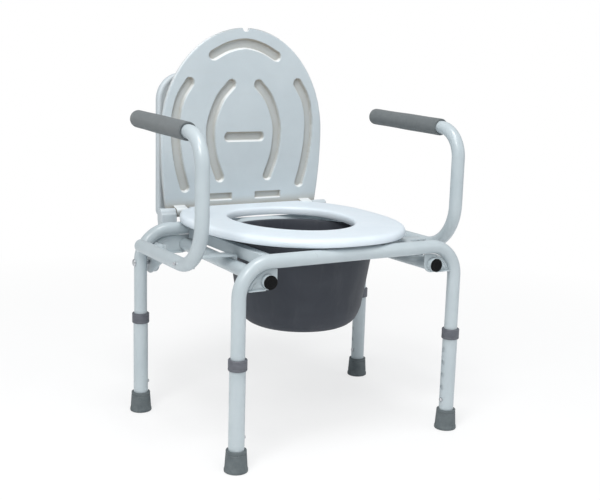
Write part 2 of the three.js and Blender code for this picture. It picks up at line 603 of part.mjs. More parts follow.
// ---------------------------------------------------------------- hinge blocks and rod
for (const s of [-1, 1]) {
  // saddle block on the side rail
  const shape = new THREE.Shape(pts([
    [227, RAIL_Z - 3], [227, HINGE_Z - 2],
    ...arcPoints(HINGE_Y, HINGE_Z, 9.2, Math.PI * 0.95, 0.05, 8),
    [249, HINGE_Z - 8], [249, RAIL_Z - 3],
  ]));
  const x0 = 164.6, x1 = 198;
  let block = solid(plateYZ(shape, s > 0 ? x0 : -x1, s > 0 ? x1 : -x0));
  block = block.subtract(solid(rod(V(s * railX(200), 200, RAIL_Z), V(s * railX(248), 248, RAIL_Z), TUBE_R + 0.6, 16)));
  // the rail starts to turn up behind the block
  const clear = new THREE.BoxGeometry(40, 20, 40);
  clear.translate(s * railX(250), 255, RAIL_Z);
  block = block.subtract(solid(clear));
  block = block.subtract(solid(rod(V(s * 150, HINGE_Y, HINGE_Z), V(s * 193.2, HINGE_Y, HINGE_Z), HINGE_ROD_R + 0.15, 12)));
  part(`${side(s)}_hinge_block`, fromSolid(block), PLASTIC_WHITE());
}
part('hinge_rod', rod(V(-192.8, HINGE_Y, HINGE_Z), V(192.8, HINGE_Y, HINGE_Z), HINGE_ROD_R, 12), STEEL());

// ---------------------------------------------------------------- backrest
{
  const r = 55;
  const panelOutline = (inset) => {
    const h = PANEL_HALF - inset, top = PANEL_TOP_Z - inset, low = PANEL_BOTTOM_Z + inset, rr = r - inset;
    return [
      ...arcPoints(h - 18, low + 18, 18, -Math.PI / 2, 0, 3),
      ...arcPoints(h - rr, top - rr, rr, 0, Math.PI / 2, 7),
      ...arcPoints(-h + rr, top - rr, rr, Math.PI / 2, Math.PI, 7),
      ...arcPoints(-h + 18, low + 18, 18, Math.PI, 1.5 * Math.PI, 3),
    ];
  };
  let body = solid(plateXZ(new THREE.Shape(pts(panelOutline(0))), PANEL_FRONT_Y, PANEL_FRONT_Y + PANEL_THICK));
  body = body.subtract(solid(plateXZ(new THREE.Shape(pts(panelOutline(3.2))), PANEL_FRONT_Y + 3.2, PANEL_FRONT_Y + PANEL_THICK + 5)));
  for (const s of [-1, 1]) {
    for (const z of SCREW_Z) {
      body = body.add(solid(rod(V(s * RAIL_X_REAR, PANEL_FRONT_Y + 2, z), V(s * RAIL_X_REAR, PANEL_FRONT_Y + PANEL_THICK, z), 7.5, 12)));
      body = body.subtract(solid(rod(V(s * RAIL_X_REAR, PANEL_FRONT_Y + 4.5, z), V(s * RAIL_X_REAR, PANEL_FRONT_Y + 30, z), 2.6, 8)));
    }
  }
  // stiffening ribs across the back
  for (const z of [395, 515, 638]) {
    const rib = new THREE.BoxGeometry(2 * PANEL_HALF - 30, 8, 2.4);
    rib.translate(0, PANEL_FRONT_Y + 3.2 + 3.4, z);
    body = body.add(solid(rib));
  }
  part('backrest_panel', fromSolid(body), PLASTIC_WHITE());

  for (const s of [-1, 1]) {
    SCREW_Z.forEach((z, i) => {
      const screw = lathe([[0, -30.5], [2.2, -30.5], [2.2, 0], [5.2, 0], [5.2, 1.4], [3.4, 3.0], [0, 3.0]], 8);
      alongY(screw);
      screw.translate(s * RAIL_X_REAR, BACK_TUBE_Y + TUBE_R + GAP, z);
      part(`${side(s)}_backrest_screw_${i === 0 ? 'low' : 'high'}`, screw, STEEL());
    });
  }
}

export default group;
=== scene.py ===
import math
import bpy
import bmesh
import numpy as np
from mathutils import Matrix, Vector


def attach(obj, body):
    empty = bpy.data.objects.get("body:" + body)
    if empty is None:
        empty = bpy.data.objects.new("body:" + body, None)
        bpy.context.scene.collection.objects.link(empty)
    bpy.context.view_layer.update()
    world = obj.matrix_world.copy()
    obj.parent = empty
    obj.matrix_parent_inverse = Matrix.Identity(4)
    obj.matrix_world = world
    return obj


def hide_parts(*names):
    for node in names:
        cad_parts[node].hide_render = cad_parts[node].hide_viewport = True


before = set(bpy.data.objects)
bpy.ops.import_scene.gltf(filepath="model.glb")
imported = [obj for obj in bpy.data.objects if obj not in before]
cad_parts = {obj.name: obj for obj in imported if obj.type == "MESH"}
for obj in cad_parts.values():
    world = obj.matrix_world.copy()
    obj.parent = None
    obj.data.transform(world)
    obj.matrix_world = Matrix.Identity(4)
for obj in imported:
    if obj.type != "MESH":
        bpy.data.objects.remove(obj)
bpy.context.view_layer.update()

SHIFT_Y = -55.15            # the frame's own offset, mm
pi = math.pi


# ------------------------------------------------------------------ mesh helpers (millimetres in, metres out)
def to_m(v):
    v = np.asarray(v, float).reshape(-1, 3).copy()
    v[:, 1] += SHIFT_Y
    return v / 1000.0


def new_obj(name, verts, faces, smooth_angle=38):
    me = bpy.data.meshes.new(name)
    me.from_pydata([tuple(p) for p in to_m(verts)], [], [tuple(int(i) for i in f) for f in faces])
    me.validate()
    bm = bmesh.new()
    bm.from_mesh(me)
    bmesh.ops.remove_doubles(bm, verts=bm.verts, dist=1e-6)
    bmesh.ops.recalc_face_normals(bm, faces=bm.faces)
    bm.to_mesh(me)
    bm.free()
    o = bpy.data.objects.new(name, me)
    bpy.context.scene.collection.objects.link(o)
    shade(o, smooth_angle)
    return o


def shade(o, angle=38):
    me = o.data
    for p in me.polygons:
        p.use_smooth = True
    me.set_sharp_from_angle(angle=math.radians(angle))


def baked(o):
    bpy.context.view_layer.update()
    dg = bpy.context.evaluated_depsgraph_get()
    me = bpy.data.meshes.new_from_object(o.evaluated_get(dg))
    o.modifiers.clear()
    old = o.data
    o.data = me
    bpy.data.meshes.remove(old)
    return o


def boolean(o, others, op):
    for c in others:
        for solver in ("MANIFOLD", "EXACT"):
            m = o.modifiers.new("b", "BOOLEAN")
            m.operation = op
            m.object = c
            m.solver = solver
            bpy.context.view_layer.update()
            dg = bpy.context.evaluated_depsgraph_get()
            me = bpy.data.meshes.new_from_object(o.evaluated_get(dg))
            o.modifiers.clear()
            if len(me.polygons) > 3:
                if op == "UNION" and len(me.polygons) == len(o.data.polygons) and solver == "MANIFOLD":
                    bpy.data.meshes.remove(me)
                    continue
                o.data = me
                break
            bpy.data.meshes.remove(me)
        bpy.data.objects.remove(c)
    return o


def bevel(o, width, segments=2, angle=32):
    m = o.modifiers.new("bv", "BEVEL")
    m.width = width / 1000
    m.segments = segments
    m.limit_method = "ANGLE"
    m.angle_limit = math.radians(angle)
    m.use_clamp_overlap = True
    baked(o)
    shade(o, 38)
    return o


def grid_faces(rows, cols, wrap_r=False, wrap_c=False):
    f = []
    for i in range(rows if wrap_r else rows - 1):
        for j in range(cols if wrap_c else cols - 1):
            a, b = i * cols + j, i * cols + (j + 1) % cols
            c, d = ((i + 1) % rows) * cols + (j + 1) % cols, ((i + 1) % rows) * cols + j
            f.append((a, b, c, d))
    return f


def stations(corners, bends, n_bend):
    P = [np.array(c, float) for c in corners]
    out = []
    unit = lambda v: v / np.linalg.norm(v)
    out.append((P[0], unit(P[1] - P[0])))
    for i in range(1, len(P) - 1):
        a, b = unit(P[i] - P[i - 1]), unit(P[i + 1] - P[i])
        turn = math.acos(max(-1, min(1, float(a @ b))))
        r = bends[i - 1]
        start = P[i] - a * r * math.tan(turn / 2)
        tc = unit(b - a * float(a @ b))
        c = start + tc * r
        for k in range(n_bend + 1):
            w = turn * k / n_bend
            out.append((c - tc * r * math.cos(w) + a * r * math.sin(w), a * math.cos(w) + tc * math.sin(w)))
    out.append((P[-1], unit(P[-1] - P[-2])))
    return out


def tube(name, corners, bends, ro, ri, sides=48, n_bend=18):
    st = stations(corners, bends, n_bend)
    # one fixed side direction: every tube lies in a plane
    first = st[0][1]
    side = None
    for _, t in st:
        c = np.cross(first, t)
        if np.linalg.norm(c) > 1e-3:
            side = c / np.linalg.norm(c)
            break
    if side is None:
        side = np.array([1.0, 0, 0]) if abs(first[0]) < 0.9 else np.array([0, 1.0, 0])
        side = side - first * float(side @ first)
        side /= np.linalg.norm(side)
    ang = np.linspace(0, 2 * pi, sides, endpoint=False)

    def ring(p, t, r):
        n = np.cross(side, t)
        return [p + r * (math.cos(a) * side + math.sin(a) * n) for a in ang]
    rings = []
    p0, t0 = st[0]
    p1, t1 = st[-1]
    rings.append(ring(p0, t0, ri + 0.25))
    rings.append(ring(p0, t0, ro - 0.35))
    rings.append(ring(p0 + t0 * 0.35, t0, ro))
    for p, t in st[1:-1]:
        rings.append(ring(p, t, ro))
    rings.append(ring(p1 - t1 * 0.35, t1, ro))
    rings.append(ring(p1, t1, ro - 0.35))
    rings.append(ring(p1, t1, ri + 0.25))
    rings.append(ring(p1 - t1 * 0.35, t1, ri))
    for p, t in reversed(st[1:-1]):
        rings.append(ring(p, t, ri))
    rings.append(ring(p0 + t0 * 0.35, t0, ri))
    v = np.array(rings).reshape(-1, 3)
    return new_obj(name, v, grid_faces(len(rings), sides, True, True))


def lathe_mesh(profile, sides=64, origin=(0, 0, 0), axis=(0, 0, 1), wobble=None):
    """Profile of (radius, distance) from axis to axis or closed off the axis."""
    ax = np.array(axis, float)
    ax /= np.linalg.norm(ax)
    u = np.cross(ax, [0, 0, 1.0]) if abs(ax[2]) < 0.9 else np.array([1.0, 0, 0])
    u /= np.linalg.norm(u)
    w = np.cross(ax, u)
    o = np.array(origin, float)
    verts, rows = [], []
    for r, d in profile:
        if r < 1e-9:
            rows.append([len(verts)])
            verts.append(o + ax * d)
        else:
            row = []
            for k in range(sides):
                a = 2 * pi * k / sides
                rr = r + (wobble(a, d, r) if wobble else 0)
                row.append(len(verts))
                verts.append(o + ax * d + rr * (math.cos(a) * u + math.sin(a) * w))
            rows.append(row)
    faces = []
    closed = len(rows[0]) > 1 and len(rows[-1]) > 1
    pairs = list(zip(rows[:-1], rows[1:]))
    if closed:
        pairs.append((rows[-1], rows[0]))
    for A, B in pairs:
        if len(A) == 1 and len(B) == 1:
            continue
        for k in range(sides):
            n = (k + 1) % sides
            if len(A) == 1:
                faces.append((A[0], B[k], B[n]))
            elif len(B) == 1:
                faces.append((A[k], B[0], A[n]))
            else:
                faces.append((A[k], A[n], B[n], B[k]))
    return verts, faces


def lathe(name, profile, sides=64, origin=(0, 0, 0), axis=(0, 0, 1), wobble=None):
    v, f = lathe_mesh(profile, sides, origin, axis, wobble)
    return new_obj(name, v, f)


def fillet(profile, radii, n=4):
    """Rounds the corners of an open profile; radii maps index to radius."""
    out = []
    for i, p in enumerate(profile):
        r = radii.get(i, 0)
        if r <= 0 or i in (0, len(profile) - 1):
            out.append(tuple(p))
            continue
        p = np.array(p, float)
        a, b = np.array(profile[i - 1], float) - p, np.array(profile[i + 1], float) - p
        la, lb = np.linalg.norm(a), np.linalg.norm(b)
        r = min(r, la * 0.49, lb * 0.49)
        s, e = p + a / la * r, p + b / lb * r
        for k in range(n + 1):
            t = k / n
            q = (1 - t) ** 2 * s + 2 * t * (1 - t) * p + t * t * e
            out.append((float(q[0]), float(q[1])))
    return out


def rod(a, b, r, sides=32, name="cut"):
    a, b = np.array(a, float), np.array(b, float)
    L = float(np.linalg.norm(b - a))
    return lathe(name, [(0, 0), (r, 0), (r, L), (0, L)], sides, a, b - a)


def prism(name, outline, lo, hi, plane):
    """outline in the named plane, filling lo to hi on the other axis."""
    def put(p, d):
        if plane == "XZ":
            return (p[0], d, p[1])
        if plane == "YZ":
            return (d, p[0], p[1])
        return (p[0], p[1], d)
    n = len(outline)
    v = [put(p, lo) for p in outline] + [put(p, hi) for p in outline]
    f = [tuple(range(n)), tuple(range(2 * n - 1, n - 1, -1))]
    f += [(i, (i + 1) % n, n + (i + 1) % n, n + i) for i in range(n)]
    return new_obj(name, v, f)


def box(name, lo, hi):
    return prism(name, [(lo[0], lo[1]), (hi[0], lo[1]), (hi[0], hi[1]), (lo[0], hi[1])], lo[2], hi[2], "XY")


def arc(cx, cy, r, a0, a1, n):
    return [(cx + r * math.cos(a0 + (a1 - a0) * i / n), cy + r * math.sin(a0 + (a1 - a0) * i / n)) for i in range(n + 1)]


def offset(poly, d):
    """Insets a closed polygon (counter-clockwise) by d."""
    P = np.array(poly, float)
    a = P - np.roll(P, 1, 0)
    b = np.roll(P, -1, 0) - P
    na = np.stack([-a[:, 1], a[:, 0]], 1) / np.linalg.norm(a, axis=1)[:, None]
    nb = np.stack([-b[:, 1], b[:, 0]], 1) / np.linalg.norm(b, axis=1)[:, None]
    m = na + nb
    m /= np.maximum((m * na).sum(1), 0.5)[:, None]
    return P + m * d


def finish_piece(o, body, mat, slot, *nodes):
    o.data.materials.clear()
    o.data.materials.append(mat)
    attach(o, body)
    if nodes:
        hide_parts(*nodes)
    return o


# ------------------------------------------------------------------ materials
class Nodes:
    def __init__(self, name):
        self.m = bpy.data.materials.new(name)
        self.m.use_nodes = True
        self.t = self.m.node_tree
        self.p = self.t.nodes["Principled BSDF"]
        tc = self.t.nodes.new("ShaderNodeTexCoord")
        self.co = tc.outputs["Object"]

    def n(self, kind, **props):
        node = self.t.nodes.new(kind)
        for k, v in props.items():
            setattr(node, k, v)
        return node

    def link(self, a, b):
        self.t.links.new(a, b)

    def noise(self, scale, detail=3.0, rough=0.5, co=None, distortion=0.0):
        n = self.n("ShaderNodeTexNoise")
        n.inputs["Scale"].default_value = scale
        n.inputs["Detail"].default_value = detail
        n.inputs["Roughness"].default_value = rough
        n.inputs["Distortion"].default_value = distortion
        self.link(co or self.co, n.inputs["Vector"])
        return n.outputs["Fac"]

    def voronoi(self, scale, feature="F1", co=None):
        n = self.n("ShaderNodeTexVoronoi", feature=feature)
        n.inputs["Scale"].default_value = scale
        self.link(co or self.co, n.inputs["Vector"])
        return n.outputs["Distance"]

    def stretch(self, sx, sy, sz):
        m = self.n("ShaderNodeMapping")
        m.inputs["Scale"].default_value = (sx, sy, sz)
        self.link(self.co, m.inputs["Vector"])
        return m.outputs["Vector"]

    def remap(self, src, lo, hi, a, b):
        n = self.n("ShaderNodeMapRange")
        n.inputs["From Min"].default_value = lo
        n.inputs["From Max"].default_value = hi
        n.inputs["To Min"].default_value = a
        n.inputs["To Max"].default_value = b
        self.link(src, n.inputs["Value"])
        return n.outputs["Result"]

    def mix(self, fac, a, b):
        n = self.n("ShaderNodeMix", data_type="RGBA")
        if isinstance(fac, float):
            n.inputs[0].default_value = fac
        else:
            self.link(fac, n.inputs[0])
        for i, c in ((6, a), (7, b)):
            if isinstance(c, tuple):
                n.inputs[i].default_value = (*c, 1)
            else:
                self.link(c, n.inputs[i])
        return n.outputs[2]

    def math(self, op, a, b):
        n = self.n("ShaderNodeMath", operation=op)
        for i, c in enumerate((a, b)):
            if isinstance(c, (int, float)):
                n.inputs[i].default_value = c
            else:
                self.link(c, n.inputs[i])
        return n.outputs[0]

    def edge(self, radius=0.0012):
        """Mask that rises where the surface turns sharply; callers lighten or darken the colour there."""
        b = self.n("ShaderNodeBevel")
        b.samples = 3
        b.inputs["Radius"].default_value = radius
        g = self.n("ShaderNodeNewGeometry")
        d = self.n("ShaderNodeVectorMath", operation="DOT_PRODUCT")
        self.link(b.outputs["Normal"], d.inputs[0])
        self.link(g.outputs["Normal"], d.inputs[1])
        return self.remap(d.outputs["Value"], 0.97, 0.75, 0.0, 1.0)

    def bump(self, pairs):
        prev = None
        for h, dist, strength in pairs:
            b = self.n("ShaderNodeBump")
            b.inputs["Distance"].default_value = dist
            b.inputs["Strength"].default_value = strength
            self.link(h, b.inputs["Height"])
            if prev is not None:
                self.link(prev, b.inputs["Normal"])
            prev = b.outputs["Normal"]
        self.link(prev, self.p.inputs["Normal"])

    def ao(self, dist=0.03):
        a = self.n("ShaderNodeAmbientOcclusion")
        a.samples = 4
        a.inputs["Distance"].default_value = dist
        return a.outputs["AO"]

    def done(self, color, rough, **inputs):
        if isinstance(color, tuple):
            self.p.inputs["Base Color"].default_value = (*color, 1)
        else:
            self.link(color, self.p.inputs["Base Color"])
        if isinstance(rough, float):
            self.p.inputs["Roughness"].default_value = rough
        else:
            self.link(rough, self.p.inputs["Roughness"])
        for k, v in inputs.items():
            self.p.inputs[k.replace("_", " ")].default_value = v
        return self.m


def powder_coat():
    k = Nodes("powder_coat_paint")
    patch = k.noise(14, 3, 0.6)
    fleck = k.noise(900, 2, 0.6)
    base = k.mix(k.remap(patch, 0.35, 0.65, 0, 1), (0.440, 0.503, 0.535), (0.478, 0.540, 0.570))
    base = k.mix(k.remap(fleck, 0.62, 0.75, 0, 0.35), base, (0.40, 0.462, 0.495))
    base = k.mix(k.math("MULTIPLY", k.edge(), k.remap(k.noise(160, 3, 0.7), 0.5, 0.68, 0, 0.5)), base, (0.35, 0.365, 0.37))
    k.bump([(k.noise(620, 2, 0.5), 0.00022, 0.42), (k.noise(2600, 1, 0.5), 0.00006, 0.3)])
    return k.done(base, k.remap(k.noise(60, 4, 0.6), 0.3, 0.7, 0.27, 0.40), Coat_Weight=0.25, Coat_Roughness=0.2)


def moulded(name, a, b, dark_tone_and_shade, grain=2300, rough=(0.34, 0.48), bumpy=0.2, ao=(0.022, 0.42), sunk=None):
    k = Nodes(name)
    base = k.mix(k.remap(k.noise(9, 4, 0.6, distortion=0.4), 0.35, 0.65, 0, 1), a, b)
    flow = k.noise(26, 3, 0.6, co=k.stretch(0.35, 1.0, 2.6))
    base = k.mix(k.remap(flow, 0.55, 0.8, 0, 0.07), base, dark_tone_and_shade)
    # painted shade: creases, recesses and gaps between parts are darkened by ambient occlusion
    base = k.mix(k.math("MULTIPLY", k.math("SUBTRACT", 1.0, k.ao(ao[0])), ao[1]), base, dark_tone_and_shade)
    base = k.mix(k.remap(k.noise(1500, 1, 0.5), 0.66, 0.74, 0, 0.16), base, dark_tone_and_shade)
    if sunk:
        # painted shade: a warm shadow tint, patchy by noise, darkens the floors of the channels
        sep = k.n("ShaderNodeSeparateXYZ")
        k.link(k.co, sep.inputs[0])
        y = sep.outputs["Y"]
        low = k.math("MULTIPLY", k.remap(y, sunk + 0.0012, sunk + 0.0056, 0.0, 1.0), k.remap(y, sunk + 0.0074, sunk + 0.0080, 1.0, 0.0))
        base = k.mix(k.math("MULTIPLY", low, k.remap(k.noise(18, 3, 0.6), 0.3, 0.7, 0.18, 0.36)), base, dark_tone_and_shade)
        # painted shade on walls that face down and a painted highlight on walls that face up
        face = k.n("ShaderNodeSeparateXYZ")
        k.link(k.n("ShaderNodeTexCoord").outputs["Normal"], face.inputs[0])
        base = k.mix(k.remap(face.outputs["Z"], -0.15, -0.8, 0.0, 0.75), base, dark_tone_and_shade)
        base = k.mix(k.remap(face.outputs["Z"], 0.18, 0.7, 0.0, 0.7), base, (0.80, 0.83, 0.845))
    k.bump([(k.noise(7, 2, 0.5), 0.0014, 0.16), (k.noise(grain, 2, 0.55), 0.00009, bumpy * 2)])
    k.p.inputs["Subsurface Weight"].default_value = 0.04
    k.p.inputs["Subsurface Radius"].default_value = (0.004, 0.003, 0.003)
    return k.done(base, k.remap(k.noise(40, 4, 0.6), 0.3, 0.7, *rough), Specular_IOR_Level=0.45)


def foam():
    k = Nodes("closed_cell_foam")
    cells = k.voronoi(1150)
    big = k.noise(70, 4, 0.65)
    base = k.mix(k.remap(big, 0.3, 0.7, 0, 1), (0.104, 0.121, 0.128), (0.140, 0.159, 0.166))
    base = k.mix(k.remap(cells, 0.1, 0.55, 0.6, 0.0), base, (0.07, 0.08, 0.085))
    base = k.mix(k.remap(k.noise(420, 3, 0.7), 0.56, 0.72, 0, 0.5), base, (0.23, 0.25, 0.255))
    k.bump([(big, 0.0011, 0.45), (cells, 0.0006, 0.75), (k.noise(1900, 2, 0.6), 0.0002, 0.5)])
    return k.done(base, k.remap(big, 0.3, 0.7, 0.86, 0.97), Sheen_Weight=0.22, Sheen_Roughness=0.6, Specular_IOR_Level=0.25)


def rubber():
    k = Nodes("grey_moulded_rubber")
    base = k.mix(k.remap(k.noise(55, 4, 0.65), 0.35, 0.65, 0, 1), (0.098, 0.118, 0.126), (0.134, 0.156, 0.164))
    base = k.mix(k.math("MULTIPLY", k.edge(0.0015), 0.5), base, (0.27, 0.285, 0.29))
    base = k.mix(k.remap(k.noise(800, 3, 0.7), 0.6, 0.76, 0, 0.6), base, (0.25, 0.255, 0.25))
    k.bump([(k.noise(240, 3, 0.6), 0.0003, 0.4), (k.noise(1700, 2, 0.6), 0.00014, 0.5)])
    return k.done(base, k.remap(k.noise(90, 3, 0.6), 0.3, 0.7, 0.62, 0.84), Specular_IOR_Level=0.35)


def collar_mat():
    k = Nodes("grey_moulded_collar")
    base = k.mix(k.remap(k.noise(60, 3, 0.6), 0.35, 0.65, 0, 1), (0.094, 0.100, 0.120), (0.120, 0.126, 0.146))
    base = k.mix(k.math("MULTIPLY", k.edge(0.001), 0.45), base, (0.21, 0.215, 0.235))
    k.bump([(k.noise(1500, 2, 0.6), 0.00014, 0.5)])
    return k.done(base, k.remap(k.noise(120, 3, 0.6), 0.3, 0.7, 0.42, 0.58))


def bucket_mat():
    k = Nodes("charcoal_moulded_pail")
    haze = k.noise(11, 4, 0.6, distortion=0.6)
    base = k.mix(k.remap(haze, 0.35, 0.65, 0, 1), (0.031, 0.036, 0.048), (0.043, 0.049, 0.062))
    drag = k.noise(34, 4, 0.65, co=k.stretch(1.0, 1.0, 0.16))
    base = k.mix(k.remap(drag, 0.55, 0.75, 0, 0.35), base, (0.080, 0.084, 0.094))
    base = k.mix(k.math("MULTIPLY", k.edge(0.0015), 0.4), base, (0.12, 0.124, 0.135))
    leather = k.voronoi(620)
    k.bump([(leather, 0.00030, 0.35), (k.noise(1800, 3, 0.6), 0.00016, 0.5)])
    return k.done(base, k.remap(haze, 0.3, 0.7, 0.46, 0.62), Specular_IOR_Level=0.33)


def black_mat():
    k = Nodes("black_moulded_plastic")
    base = k.mix(k.remap(k.noise(70, 3, 0.6), 0.35, 0.65, 0, 1), (0.0035, 0.0038, 0.0042), (0.007, 0.0075, 0.008))
    base = k.mix(k.math("MULTIPLY", k.edge(0.001), 0.5), base, (0.035, 0.035, 0.038))
    k.bump([(k.noise(1600, 2, 0.6), 0.00014, 0.5)])
    return k.done(base, k.remap(k.noise(120, 3, 0.6), 0.3, 0.7, 0.45, 0.6), Specular_IOR_Level=0.10)


def steel():
    k = Nodes("zinc_plated_steel")
    turn = k.noise(700, 3, 0.6, co=k.stretch(1.0, 0.06, 0.06))
    base = k.mix(k.remap(k.noise(120, 4, 0.65), 0.35, 0.65, 0, 1), (0.52, 0.53, 0.55), (0.68, 0.69, 0.71))
    base = k.mix(k.remap(k.noise(300, 4, 0.7), 0.6, 0.75, 0, 0.5), base, (0.42, 0.42, 0.41))
    k.bump([(turn, 0.00010, 0.5)])
    return k.done(base, k.remap(turn, 0.3, 0.7, 0.24, 0.42), Metallic=1.0)


PAINT, FOAM, RUBBER, COLLAR = powder_coat(), foam(), rubber(), collar_mat()
PAIL, BLACK, STEEL = bucket_mat(), black_mat(), steel()
SEAT = moulded("white_moulded_seat", (0.672, 0.745, 0.806), (0.707, 0.776, 0.832), (0.530, 0.590, 0.645), rough=(0.30, 0.42))
SHELL = moulded("offwhite_moulded_panel", (0.498, 0.553, 0.588), (0.532, 0.586, 0.618), (0.385, 0.402, 0.410), rough=(0.38, 0.52), ao=(0.022, 0.5))
LIDM = moulded("offwhite_moulded_lid", (0.478, 0.538, 0.572), (0.510, 0.570, 0.602), (0.370, 0.325, 0.255), rough=(0.36, 0.50), ao=(0.020, 1.1), sunk=(250.0 + SHIFT_Y) / 1000)

# ------------------------------------------------------------------ dimensions, mm
TR, TI = 12.7, 11.2
LR, LI = 14.3, 13.35
XF, XR, LY = 232.0, 263.5, 179.3
BAR_Z, SH_R = 368.3, 60
RX, RXR, RZ, RFY, BTY, BTZ = 178.0, 165.0, 334.4, -190.5, 295.0, 630.0
H0, HP = 59.5, 25.4
AX, APY, ALZ, ATZ = 274.4, -122.0, 344.2, 580.8
GF, GR_, GRIP = -64.0, 166.0, 17.0
PY, PZ = 179.3, 305.0
HY, HZ = 239.0, 390.0
S_TOP, S_BOT = 400.0, 384.2
TURN = math.atan((RX - RXR) / (BTY - RFY))


def rail_x(y):
    return RX + (RXR - RX) * (y - RFY) / (BTY - RFY)


# ------------------------------------------------------------------ front and rear frames
for nm, x, y in (("front_frame_tube", XF, -LY), ("rear_frame_tube", XR, LY)):
    o = tube("v_" + nm, [(-x, y, 46), (-x, y, BAR_Z), (x, y, BAR_Z), (x, y, 46)], [SH_R, SH_R], TR, TI, 56, 24)
    cuts = [rod((s * x, y, H0), (s * x - s * 20, y, H0), 4.5) for s in (-1, 1)]
    if y > 0:
        cuts += [rod((s * (x - 20), y, PZ), (s * (x + 20), y, PZ), 4.4) for s in (-1, 1)]
    boolean(o, cuts, "DIFFERENCE")
    shade(o)
    finish_piece(o, "frame", PAINT, "powder_coat", nm)


def bead(name, centre, radius, axis, r=1.5, a0=0.0, a1=2 * pi, n=84):
    """A run of overlapping weld ripples round a tube."""
    ax = np.array(axis, float)
    u = np.cross(ax, [0, 0, 1.0]) if abs(ax[2]) < 0.9 else np.array([1.0, 0, 0])
    u /= np.linalg.norm(u)
    w = np.cross(ax, u)
    full = abs(a1 - a0 - 2 * pi) < 1e-6
    rows, m = [], 12
    cnt = n if full else n + 1
    for i in range(cnt):
        a = a0 + (a1 - a0) * i / n
        ripple = 1 + 0.16 * math.sin(i * 2 * pi / 3.0) + 0.06 * math.sin(i * 0.9)
        end = 1.0 if full else min(1.0, 0.35 + min(i, n - i) / 3.0)
        d = math.cos(a) * u + math.sin(a) * w
        for j in range(m):
            b = 2 * pi * j / m
            rr = r * ripple * end
            rows.append(np.array(centre) + d * (radius + rr * math.cos(b)) + ax * rr * math.sin(b))
    f = grid_faces(cnt, m, full, True)
    if not full:
        f += [tuple(range(m - 1, -1, -1)), tuple(range((cnt - 1) * m, cnt * m))]
    return new_obj(name, np.array(rows), f, 60)


# ------------------------------------------------------------------ side rails and their plugs
for s, n in ((-1, "left"), (1, "right")):
    x = s * RXR
    o = tube(f"v_{n}_side_rail", [(s * RX, RFY, RZ), (x, BTY, RZ), (x, BTY, BTZ)], [38], TR, TI, 56, 20)
    boolean(o, [rod((x, BTY - 20, z), (x, BTY + 20, z), 2.8, 24) for z in (430, 600)], "DIFFERENCE")
    shade(o)
    finish_piece(o, "frame", PAINT, "powder_coat", f"{n}_side_rail")

    prof = fillet([(0, -13), (10.6, -13), (10.6, 0.3), (12.5, 0.3), (12.5, 4.2), (8.6, 4.2), (7.4, 3.2), (0, 3.2)], {1: 1, 4: 1.8, 5: 0.5, 6: 0.5}, 5)
    finish_piece(lathe(f"v_{n}_rail_plug", prof, 48, (s * RX, RFY, RZ), (s * math.sin(TURN), -math.cos(TURN), 0)), "frame", BLACK, "black_plastic", f"{n}_rail_plug")
    prof = fillet([(0, -13), (10.6, -13), (10.6, 0.3), (12.5, 0.3), (12.5, 3.4), (10.0, 4.4), (0, 4.6)], {1: 1, 4: 1.6, 5: 1.2}, 5)
    finish_piece(lathe(f"v_{n}_post_plug", prof, 48, (x, BTY, BTZ)), "frame", BLACK, "black_plastic", f"{n}_post_plug")

# ------------------------------------------------------------------ corner gussets, pressed, with ribs and weld beads
for s, n in ((-1, "left"), (1, "right")):
    for nm, lx, y in ((f"{n}_front_gusset", XF, -LY), (f"{n}_rear_gusset", XR, LY)):
        cx, cz = lx - SH_R, BAR_Z - SH_R
        r, low = SH_R - TR - 0.8, 319.0
        st = math.asin((low - cz) / r)
        pts = arc(cx, cz, r, st, pi / 2, 26)
        gx = rail_x(y)
        if cx > gx - 18.2:
            pts.append((gx - 19.2, cz + r))
        pts += [(gx - 19.2, 345)] + arc(gx - 2.2, RZ + 1.6, 17.0, pi, 1.5 * pi, 12)
        o = prism("v_" + nm, [(s * a, b) for a, b in pts], y - 1.4, y + 1.4, "XZ")
        bevel(o, 0.7, 3, 40)
        lipx = cx + r * math.cos(st) - 1.5
        xs = sorted((s * (gx + 6), s * lipx))
        lip = box("lip", (xs[0], y - 6.5, low), (xs[1], y + 1.0, low + 2.2))
        bevel(lip, 0.6, 2)
        boolean(o, [lip], "UNION")
        ribs = []
        for rr, a0, a1 in ((43.4, 24, 72), (37.6, 20, 40)) if y < 0 else ((43.4, 24, 84), (36.6, 24, 84)):
            a0, a1 = math.radians(a0), math.radians(a1)
            o2 = arc(cx, cz, rr + 1.3, a0, a1, 20) + arc(cx, cz, rr - 1.3, a1, a0, 20)
            rib = prism("rib", [(s * a, b) for a, b in o2], y - 2.6, y + 0.2, "XZ")
            bevel(rib, 0.8, 3)
            ribs.append(rib)
        boolean(o, ribs, "UNION")
        boolean(o, [rod((s * rail_x(y - 20), y - 20, RZ), (s * rail_x(y + 20), y + 20, RZ), TR + 0.45, 48)], "DIFFERENCE")
        if y > 0:
            boolean(o, [rod((s * 226, PY, PZ), (s * 256, PY, PZ), 24.5, 48)], "DIFFERENCE")
        shade(o)
        finish_piece(o, "frame", PAINT, "powder_coat", nm)
        b = bead(f"v_{nm}_rail_weld", (s * rail_x(y), y + 1.6, RZ), TR + 0.9, (-s * math.sin(TURN), math.cos(TURN), 0), 1.35)
        finish_piece(b, "frame", PAINT, "powder_coat")

